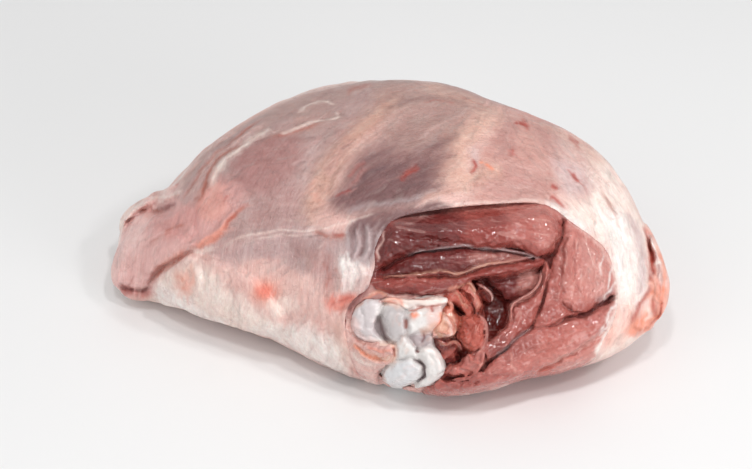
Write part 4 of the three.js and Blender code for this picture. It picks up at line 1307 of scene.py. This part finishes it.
def buildCover(forms, step, inset=0.0, turned=-2.0):
    work = cover
    block = Block(work["low"], work["high"], step)
    block.near(work["band"], work["band"], turned)
    height = coverHeight(forms, block) - inset
    block.field[block.cells] -= height.astype(np.float32)
    block.addRods(*rodsOn(work["lips"].values()), work["lipBlend"])
    # the opening where the cut face shows
    x, y, z = np.meshgrid(*block.axes, indexing="ij", sparse=True)
    sheetX, sheetY, ahead = onSheet(x, y, z + 0 * x)
    inside = outlineLayer(work["cutOutline"]).at(sheetX, sheetY) * sheetUnit
    opening = np.minimum(inside, np.minimum(work["cutFront"] + ahead, work["cutDeep"] + block.mass))
    block.field = -smoothMin(-block.field, -opening.astype(np.float32), work["cutRounding"])
    block.field = np.maximum(block.field, -z)
    return block.surface()


def cutLayers():
    work = cutFace
    forms, shades, turn = Layer(work["between"]), Layer(colour(work["ground"])), Layer(0.0)
    for level, edge, outline in work["hollows"]:
        forms.fill(outline, level, edge)
    for level, crown, width, _, _, outline in work["muscles"].values():
        forms.dome(outline, level, crown, width)
    window, _, _, gap = insideDistance(knuckle["outline"])
    forms.blendIn(window, smoothStep(2, 5, gap), work["underKnuckle"])
    carve(forms, work["creases"])
    # the deep hollow is filled dark: the meat's deep red with painted shade over it
    shades.fill(work["hollows"][0][2], colour("deepRedAndShadow"), 3.0)
    for _, _, _, meat, angle, outline in work["muscles"].values():
        shades.fill(outline, colour(meat), 1.0)
        turn.fill(outline, float(angle), 0.3)
    fillAreas(shades, work["areas"])
    streakIn(
        shades, forms, work["streaks"],
        lambda x, y: math.radians(turn.at(np.array([x]), np.array([y]))[0]),
    )
    drawStrokes(shades, work["strokes"])
    forms.soften(work["smoothing"])
    return forms, shades, turn


def tornWeight(sheetX, sheetY):
    torn = cutFace["torn"]
    return np.clip(outlineLayer(torn["outline"]).at(sheetX, sheetY) / torn["rim"], 0, 1)


def tornRidges(points):
    # Crests of torn tissue, drawn out along the shreds.
    torn = cutFace["torn"]
    along = math.radians(torn["angle"])
    x = points[:, 0] * math.cos(along) + points[:, 2] * math.sin(along)
    z = points[:, 2] * math.cos(along) - points[:, 0] * math.sin(along)
    stretched = np.stack([x * torn["stretch"][0], points[:, 1] * torn["stretch"][1], z], 1)
    return np.maximum(*(share * ridges(stretched, size, seed) for size, seed, share in torn["ridges"]))


def buildCutFace(forms):
    work = cutFace
    block = Block(work["low"], work["high"], work["step"])
    block.near(*work["band"])
    height = forms.at(*wander(block, tornWandering)) + waves(block.places, work["waves"])
    torn, share = work["torn"], tornWeight(block.sheetX, block.sheetY)
    some = share > 0
    crests = tornRidges(block.places[some])
    bumps = unevenness(block.places[some], torn["bumpSize"], torn["bumpSeed"])
    height[some] += share[some] * (torn["height"] * crests + torn["bumps"] * bumps)
    # at its rim the meat lies level with the cover and then runs on under it
    rim = outlineLayer(cover["cutOutline"])
    gap = rim.at(block.sheetX, block.sheetY)
    nearRim = smoothStep(work["rimWidth"], 0, gap)
    rimHeight = coverHeight(coverForms, block) + work["rimLevel"] + work["rimFall"] * np.minimum(gap, 0)
    height = height * (1 - nearRim) + rimHeight * nearRim
    block.field[block.cells] -= height.astype(np.float32)
    block.addRods(*rodsOn(work["shreds"].values()), work["shredBlend"])
    x, y, z = np.meshgrid(*block.axes, indexing="ij", sparse=True)
    sheetX, sheetY, ahead = onSheet(x, y, z + 0 * x)
    outside = -rim.at(sheetX, sheetY) * sheetUnit
    block.field = np.maximum(block.field, outside - work["underRim"] * sheetUnit)
    block.field = np.maximum(block.field, -work["depth"] - block.mass)
    block.field = np.maximum(block.field, -ahead - cover["cutFront"])
    block.field = np.maximum(block.field, -z)
    return block.surface()


def knuckleLayers():
    work = knuckle
    forms, shades = Layer(work["outside"]), Layer(colour(work["ground"]))
    forms.fill(work["outline"], work["floor"], work["rim"])
    for level, crown, width, outline in work["forms"].values():
        forms.dome(outline, level, crown, width)
    carve(forms, work["creases"])
    fillAreas(shades, work["areas"])
    streakIn(shades, forms, work["streaks"], lambda x, y: runAt(x, y, work["runs"]))
    drawStrokes(shades, work["strokes"])
    forms.soften(work["smoothing"])
    return forms, shades


def buildKnuckle(forms):
    work = knuckle
    block = Block(work["low"], work["high"], work["step"])
    block.near(*work["band"])
    height = forms.at(*wander(block)) + waves(block.places, work["waves"])
    block.field[block.cells] -= height.astype(np.float32)
    _, _, z = np.meshgrid(*block.axes, indexing="ij", sparse=True)
    block.field = np.maximum(block.field, -work["depth"] - block.mass)
    block.field = np.maximum(block.field, -z)
    return block.surface()


def grainOf(points, angle=None):
    # Lengths along and across the fibres, and towards the camera. The cover's run round a centre.
    sheetX, sheetY, ahead = onSheet(*points.T)
    if angle is None:
        dx, dy = sheetX - cover["fibreCentre"][0], sheetY - cover["fibreCentre"][1]
        return np.stack([np.arctan2(dx, -dy) * cover["fibreTurn"], np.hypot(dx, dy) * sheetUnit, ahead], 1)
    cosine, sine = np.cos(np.radians(angle)), np.sin(np.radians(angle))
    dx, dy = sheetX * sheetUnit, sheetY * sheetUnit
    return np.stack([dx * cosine - dy * sine, dx * sine + dy * cosine, ahead], 1)


def makePiece(name, points, quads, colours, grain, material):
    mesh = bpy.data.meshes.new(name)
    mesh.vertices.add(len(points))
    mesh.vertices.foreach_set("co", ((points + partShift) * 0.001).astype(np.float32).ravel())
    mesh.loops.add(quads.size)
    mesh.loops.foreach_set("vertex_index", quads.ravel().astype(np.int32))
    mesh.polygons.add(len(quads))
    mesh.polygons.foreach_set("loop_start", np.arange(0, quads.size, 4, dtype=np.int32))
    mesh.update(calc_edges=True)
    mesh.shade_smooth()
    tint = mesh.attributes.new("tint", "FLOAT_COLOR", "POINT")
    tint.data.foreach_set("color", np.hstack([colours, np.ones((len(points), 1))]).astype(np.float32).ravel())
    fibres = mesh.attributes.new("fibres", "FLOAT_VECTOR", "POINT")
    fibres.data.foreach_set("vector", grain.astype(np.float32).ravel())
    mesh.materials.append(material)
    piece = bpy.data.objects.new(name, mesh)
    bpy.context.collection.objects.link(piece)
    print(f"{name}: {len(quads) * 2} triangles, {time.time() - began:.1f} s")
    return piece


def keepFaces(points, quads, keep):
    quads = quads[keep]
    used, again = np.unique(quads, return_inverse=True)
    return points[used], again.reshape(quads.shape)


# Shader arithmetic: a wrapped socket adds the nodes for +, - and * by itself.
class Wire:
    def __init__(self, recipe, socket):
        self.recipe, self.socket = recipe, socket

    def join(self, other, operation, swapped=False):
        first, second = (other, self) if swapped else (self, other)
        kinds = {w.socket.type for w in (self, other) if isinstance(w, Wire)}
        if "RGBA" in kinds:
            return self.recipe.blend(first, second, 1.0, operation)
        if "VECTOR" in kinds:
            return self.recipe.add("ShaderNodeVectorMath", {"operation": operation}, {0: first, 1: second})
        return self.recipe.add("ShaderNodeMath", {"operation": operation}, {0: first, 1: second})

    def __add__(self, other):
        return self.join(other, "ADD")

    def __radd__(self, other):
        return self.join(other, "ADD", True)

    def __sub__(self, other):
        return self.join(other, "SUBTRACT")

    def __rsub__(self, other):
        return self.join(other, "SUBTRACT", True)

    def __mul__(self, other):
        return self.join(other, "MULTIPLY")

    def __rmul__(self, other):
        return self.join(other, "MULTIPLY", True)


class Recipe:
    def __init__(self, name):
        self.material = bpy.data.materials.new(name)
        self.material.use_nodes = True
        self.nodes = self.material.node_tree.nodes
        self.links = self.material.node_tree.links
        self.nodes.clear()

    def add(self, kind, settings=None, inputs=None, output=0):
        node = self.nodes.new(kind)
        for key, value in (settings or {}).items():
            if key == "stops":
                for i, (place, shade) in enumerate(value):
                    stop = node.color_ramp.elements[i] if i < 2 else node.color_ramp.elements.new(place)
                    stop.position, stop.color = place, (*shade, 1)
            else:
                setattr(node, key, value)
        for key, value in (inputs or {}).items():
            if isinstance(value, Wire):
                self.links.new(value.socket, node.inputs[key])
            elif node.inputs[key].type == "RGBA" and np.size(value) != 4:
                node.inputs[key].default_value = (*np.broadcast_to(value, 3), 1)
            elif node.inputs[key].type == "VECTOR" and np.size(value) == 1:
                node.inputs[key].default_value = (value,) * 3
            else:
                node.inputs[key].default_value = value
        return Wire(self, node.outputs[output])

    def blend(self, first, second, share, how="MIX"):
        settings = {"data_type": "RGBA", "blend_type": how}
        return self.add("ShaderNodeMix", settings, {0: share, 6: first, 7: second}, 2)

    def range(self, value, low, high, start=0.0, end=1.0):
        inputs = {0: value, 1: low, 2: high, 3: start, 4: end}
        return self.add("ShaderNodeMapRange", {"interpolation_type": "SMOOTHSTEP"}, inputs)

    def noise(self, place, scale, detail=3.0, roughness=0.5, distortion=0.0):
        inputs = {"Vector": place, "Scale": scale, "Detail": detail, "Roughness": roughness}
        inputs["Distortion"] = distortion
        return self.add("ShaderNodeTexNoise", {}, inputs)

    def size(self, value):
        return self.add("ShaderNodeMath", {"operation": "ABSOLUTE"}, {0: value})

    def attribute(self, name, output):
        settings = {"attribute_type": "GEOMETRY", "attribute_name": name}
        return self.add("ShaderNodeAttribute", settings, {}, output)

    def finish(self, inputs):
        surface = self.add("ShaderNodeBsdfPrincipled", {}, inputs)
        output = self.nodes.new("ShaderNodeOutputMaterial")
        self.links.new(surface.socket, output.inputs["Surface"])
        return self.material


coverFinish = {
    "streaks": 0.13,          # how much lighter and darker the fibres under the fat make it
    "bundles": 0.10,
    "mottling": 0.15,
    "creaseLines": 0.10,
    "roughness": (0.26, 0.50),
    "bump": 1.0,
}


def coverMaterial():
    look = coverFinish
    recipe = Recipe("fat_cover")
    tint = recipe.attribute("tint", 0)
    fibres = recipe.attribute("fibres", 1)
    place = recipe.add("ShaderNodeTexCoord", {}, {}, 3)
    fine = recipe.noise(fibres * (0.07, 1.1, 0.5), 1.0, 4.0, 0.65, 1.4)
    bundles = recipe.noise(fibres * (0.03, 0.28, 0.12), 1.0, 3.0, 0.55, 1.5)
    mottles = recipe.noise(place, 150.0, 6.0, 0.70)
    clouds = recipe.noise(place, 38.0, 4.0, 0.6, 0.5)
    grains = recipe.noise(place, 900.0, 2.0, 0.6)
    lines = recipe.noise(place, 75.0, 4.0, 0.6, 1.6)
    wrinkle = recipe.range(recipe.size(lines - 0.5), 0.0, 0.014, 1.0, 0.0)
    strength = 1 - look["streaks"] + fine * (2 * look["streaks"])
    strength = strength * (1 - look["bundles"] + bundles * (2 * look["bundles"]))
    strength = strength * (1 - look["mottling"] + mottles * (2 * look["mottling"]))
    strength = strength * (0.94 + clouds * 0.12)
    redder = strength * strength
    bluer = redder * (0.98 + mottles * 0.04)
    shade = recipe.add("ShaderNodeCombineColor", {}, {0: strength, 1: redder, 2: bluer})
    skin = tint * shade
    skin = recipe.blend(skin, tuple(colour("creamFat")), wrinkle * clouds * look["creaseLines"])
    rough = recipe.range(mottles + clouds * 0.5, 0.5, 1.0, *look["roughness"])
    height = fine * 0.5 + bundles * 0.5 + grains * 0.25 + mottles * 0.7 + wrinkle * 0.15
    bump = recipe.add("ShaderNodeBump", {}, {"Strength": look["bump"], "Distance": 0.0008, "Height": height})
    return recipe.finish({
        "Base Color": skin, "Roughness": rough, "Normal": bump,
        "Subsurface Weight": 0.08, "Subsurface Scale": 0.002, "Subsurface Radius": (1.0, 0.45, 0.3),
        "Specular IOR Level": 0.5,
    })


meatFinish = {
    "depth": 0.88,
    "fibreContrast": 0.16,
    "marbling": 0.35,
    "roughness": (0.10, 0.34),
    "beads": 1.5,            # small wet swellings that catch the light
    "bump": 1.0,
}


def meatMaterial():
    look = meatFinish
    recipe = Recipe("cut_meat")
    tint = recipe.attribute("tint", 0)
    fibres = recipe.attribute("fibres", 1)
    place = recipe.add("ShaderNodeTexCoord", {}, {}, 3)
    fine = recipe.noise(fibres * (0.14, 1.1, 0.6), 1.0, 4.0, 0.65, 0.8)
    bundles = recipe.noise(fibres * (0.06, 0.33, 0.2), 1.0, 3.0, 0.5, 1.0)
    grains = recipe.noise(place, 700.0, 3.0, 0.65)
    beads = recipe.add("ShaderNodeTexVoronoi", {"feature": "SMOOTH_F1"}, {"Vector": place, "Scale": 460.0})
    clouds = recipe.noise(place, 110.0, 5.0, 0.65)
    depth = look["fibreContrast"]
    strength = (1 - depth + fine * (2 * depth)) * (1 - depth + bundles * (2 * depth))
    strength = strength * (0.82 + clouds * 0.36)
    redder = strength * strength
    shade = recipe.add("ShaderNodeCombineColor", {}, {0: strength, 1: redder, 2: redder})
    flesh = tint * shade * (look["depth"], look["depth"] * 0.95, look["depth"] * 0.95)
    veins = recipe.range(bundles, 0.60, 0.70) * look["marbling"] * clouds
    flesh = recipe.blend(flesh, tuple(colour("palePink")), veins)
    rough = recipe.range(clouds, 0.38, 0.62, *look["roughness"])
    height = fine * 0.5 + grains * 0.35 + bundles * 0.5 - beads * look["beads"]
    bump = recipe.add("ShaderNodeBump", {}, {"Strength": look["bump"], "Distance": 0.0005, "Height": height})
    return recipe.finish({
        "Base Color": flesh, "Roughness": rough, "Normal": bump,
        "Subsurface Weight": 0.08, "Subsurface Scale": 0.002, "Subsurface Radius": (1.0, 0.25, 0.2),
        "Specular IOR Level": 0.2, "Coat Weight": 0.6, "Coat Roughness": 0.06,
    })


gristleFinish = {
    "clouding": 0.08,         # how much lighter and darker
    "roughness": (0.22, 0.40),
    "bump": 0.25,
}


def gristleMaterial():
    look = gristleFinish
    recipe = Recipe("wet_gristle")
    tint = recipe.attribute("tint", 0)
    place = recipe.add("ShaderNodeTexCoord", {}, {}, 3)
    clouds = recipe.noise(place, 120.0, 4.0, 0.6)
    grains = recipe.noise(place, 600.0, 2.0, 0.5)
    strength = 1 - look["clouding"] + clouds * (2 * look["clouding"])
    shade = recipe.add("ShaderNodeCombineColor", {}, {0: strength, 1: strength, 2: strength})
    rough = recipe.range(clouds, 0.3, 0.7, *look["roughness"])
    height = clouds + grains * 0.4
    bump = recipe.add("ShaderNodeBump", {}, {"Strength": look["bump"], "Distance": 0.0005, "Height": height})
    return recipe.finish({
        "Base Color": tint * shade, "Roughness": rough, "Normal": bump,
        "Subsurface Weight": 0.15, "Subsurface Scale": 0.003, "Subsurface Radius": (0.9, 0.8, 0.8),
        "Specular IOR Level": 0.5, "Coat Weight": 0.3, "Coat Roughness": 0.12,
    })


def shownColour(points, layer):
    sheetX, sheetY, _ = onSheet(*points.T)
    weight = smoothStep(*cover["shownFrom"], facingAt(points))[:, None]
    return layer.at(*wandered(points, sheetX, sheetY)) * weight + hiddenColour(points, layer) * (1 - weight)


def coverPieces(forms, shades):
    material, pieces = coverMaterial(), []
    for name, step, inset, side, turned in (
        ("front_cover", cover["frontStep"], 0.0, 1, -0.4),
        ("back_cover", cover["backStep"], cover["backInset"], -1, -2.0),
    ):
        points, quads = buildCover(forms, step, inset, turned)
        turned = facingAt(points) * side
        keep = turned[quads].max(1) > cover["seam"] * side - 0.02
        # the walls of the opening only as deep as they show
        shows = massDistance(*points.T) > -cover["wallDepth"]
        keep &= shows[quads].all(1)
        points, quads = keepFaces(points, quads, keep)
        tint = shownColour(points, shades)
        pieces.append(makePiece(name, points, quads, tint, grainOf(points), material))
    return pieces


coverForms, coverShades = coverLayers()
frontCover, backCover = coverPieces(coverForms, coverShades)

forms, shades, turn = cutLayers()
points, quads = buildCutFace(forms)
sheetX, sheetY, ahead = onSheet(*points.T)
# what lies under the cover or deep in the meat is left out
shows = outlineLayer(cover["cutOutline"]).at(sheetX, sheetY) > 1 - cutFace["underRim"]
shows &= (massDistance(*points.T) > 1 - cutFace["depth"]) & (ahead > 1 - cover["cutFront"])
points, quads = keepFaces(points, quads, shows[quads].all(1))
sheetX, sheetY, ahead = onSheet(*points.T)
tint = shades.at(*wandered(points, sheetX, sheetY, tornWandering))
crests = (cutFace["torn"]["tinted"] * tornWeight(sheetX, sheetY) * tornRidges(points))[:, None]
tint = tint * (1 - crests) + colour("tornEdge") * crests
cutPiece = makePiece(
    "cut_face", points, quads, tint, grainOf(points, turn.at(sheetX, sheetY)), meatMaterial(),
)

forms, shades = knuckleLayers()
points, quads = buildKnuckle(forms)
shows = massDistance(*points.T) > 2 - knuckle["depth"]
points, quads = keepFaces(points, quads, shows[quads].all(1))
sheetX, sheetY, ahead = onSheet(*points.T)
tint = shades.at(*wandered(points, sheetX, sheetY))
bonePiece = makePiece("knuckle", points, quads, tint, grainOf(points), gristleMaterial())

for piece in (frontCover, backCover, cutPiece):
    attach(piece, "root")
    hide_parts("leg_meat")
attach(bonePiece, "root")
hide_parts("leg_bone")

# Floor, light and camera
studio = {
    "floorColour": (0.84, 0.84, 0.84),
    "world": 0.50,
    "key": {"place": (1.2, -1.2, 0.45), "size": 0.8, "power": 9.0},
    "fill": {"place": (-1.2, -0.9, 1.1), "size": 1.4, "power": 5.0},
    "back": {"place": (-0.2, 1.2, 1.2), "size": 1.0, "power": 1.0},
    "sparkle": {"place": (0.3, -0.40, 1.3), "size": 0.12, "power": 3.5},
    "sparkleLeft": {"place": (-0.1, -0.55, 1.25), "size": 0.12, "power": 3.0},
    "sparkleRight": {"place": (0.8, -0.45, 1.1), "size": 0.12, "power": 3.0},
}
floorRecipe = Recipe("pale_floor")
bpy.ops.mesh.primitive_plane_add(size=8, location=(0, 0, 0))
floor = bpy.context.object
floor.name = "floor"
floor.data.materials.append(floorRecipe.finish({"Base Color": studio["floorColour"], "Roughness": 0.7}))

world = bpy.data.worlds.new("studio")
bpy.context.scene.world = world
world.use_nodes = True
world.node_tree.nodes["Background"].inputs["Color"].default_value = (1, 1, 1, 1)
world.node_tree.nodes["Background"].inputs["Strength"].default_value = studio["world"]
for name in ("key", "fill", "back", "sparkle", "sparkleLeft", "sparkleRight"):
    lamp = bpy.data.lights.new(name, "AREA")
    lamp.energy, lamp.size = studio[name]["power"], studio[name]["size"]
    holder = bpy.data.objects.new(name, lamp)
    holder.location = studio[name]["place"]
    aim = Vector((0, 0, 0.05)) - Vector(studio[name]["place"])
    holder.rotation_euler = aim.to_track_quat("-Z", "Y").to_euler()
    bpy.context.collection.objects.link(holder)

lens = bpy.data.cameras.new("camera")
lens.sensor_width = 36
lens.lens = 36 * sheet["focal"] / sheet["size"][0]
lens.clip_end = 20
camera = bpy.data.objects.new("camera", lens)
camera.location = (eye + partShift) * 0.001
camera.rotation_euler = (math.radians(90 - sheet["elevation"]), 0, 0)
bpy.context.collection.objects.link(camera)
bpy.context.scene.camera = camera
bpy.context.scene.view_settings.view_transform = "Standard"

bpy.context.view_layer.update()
print(f"scene ready in {time.time() - began:.1f} s")
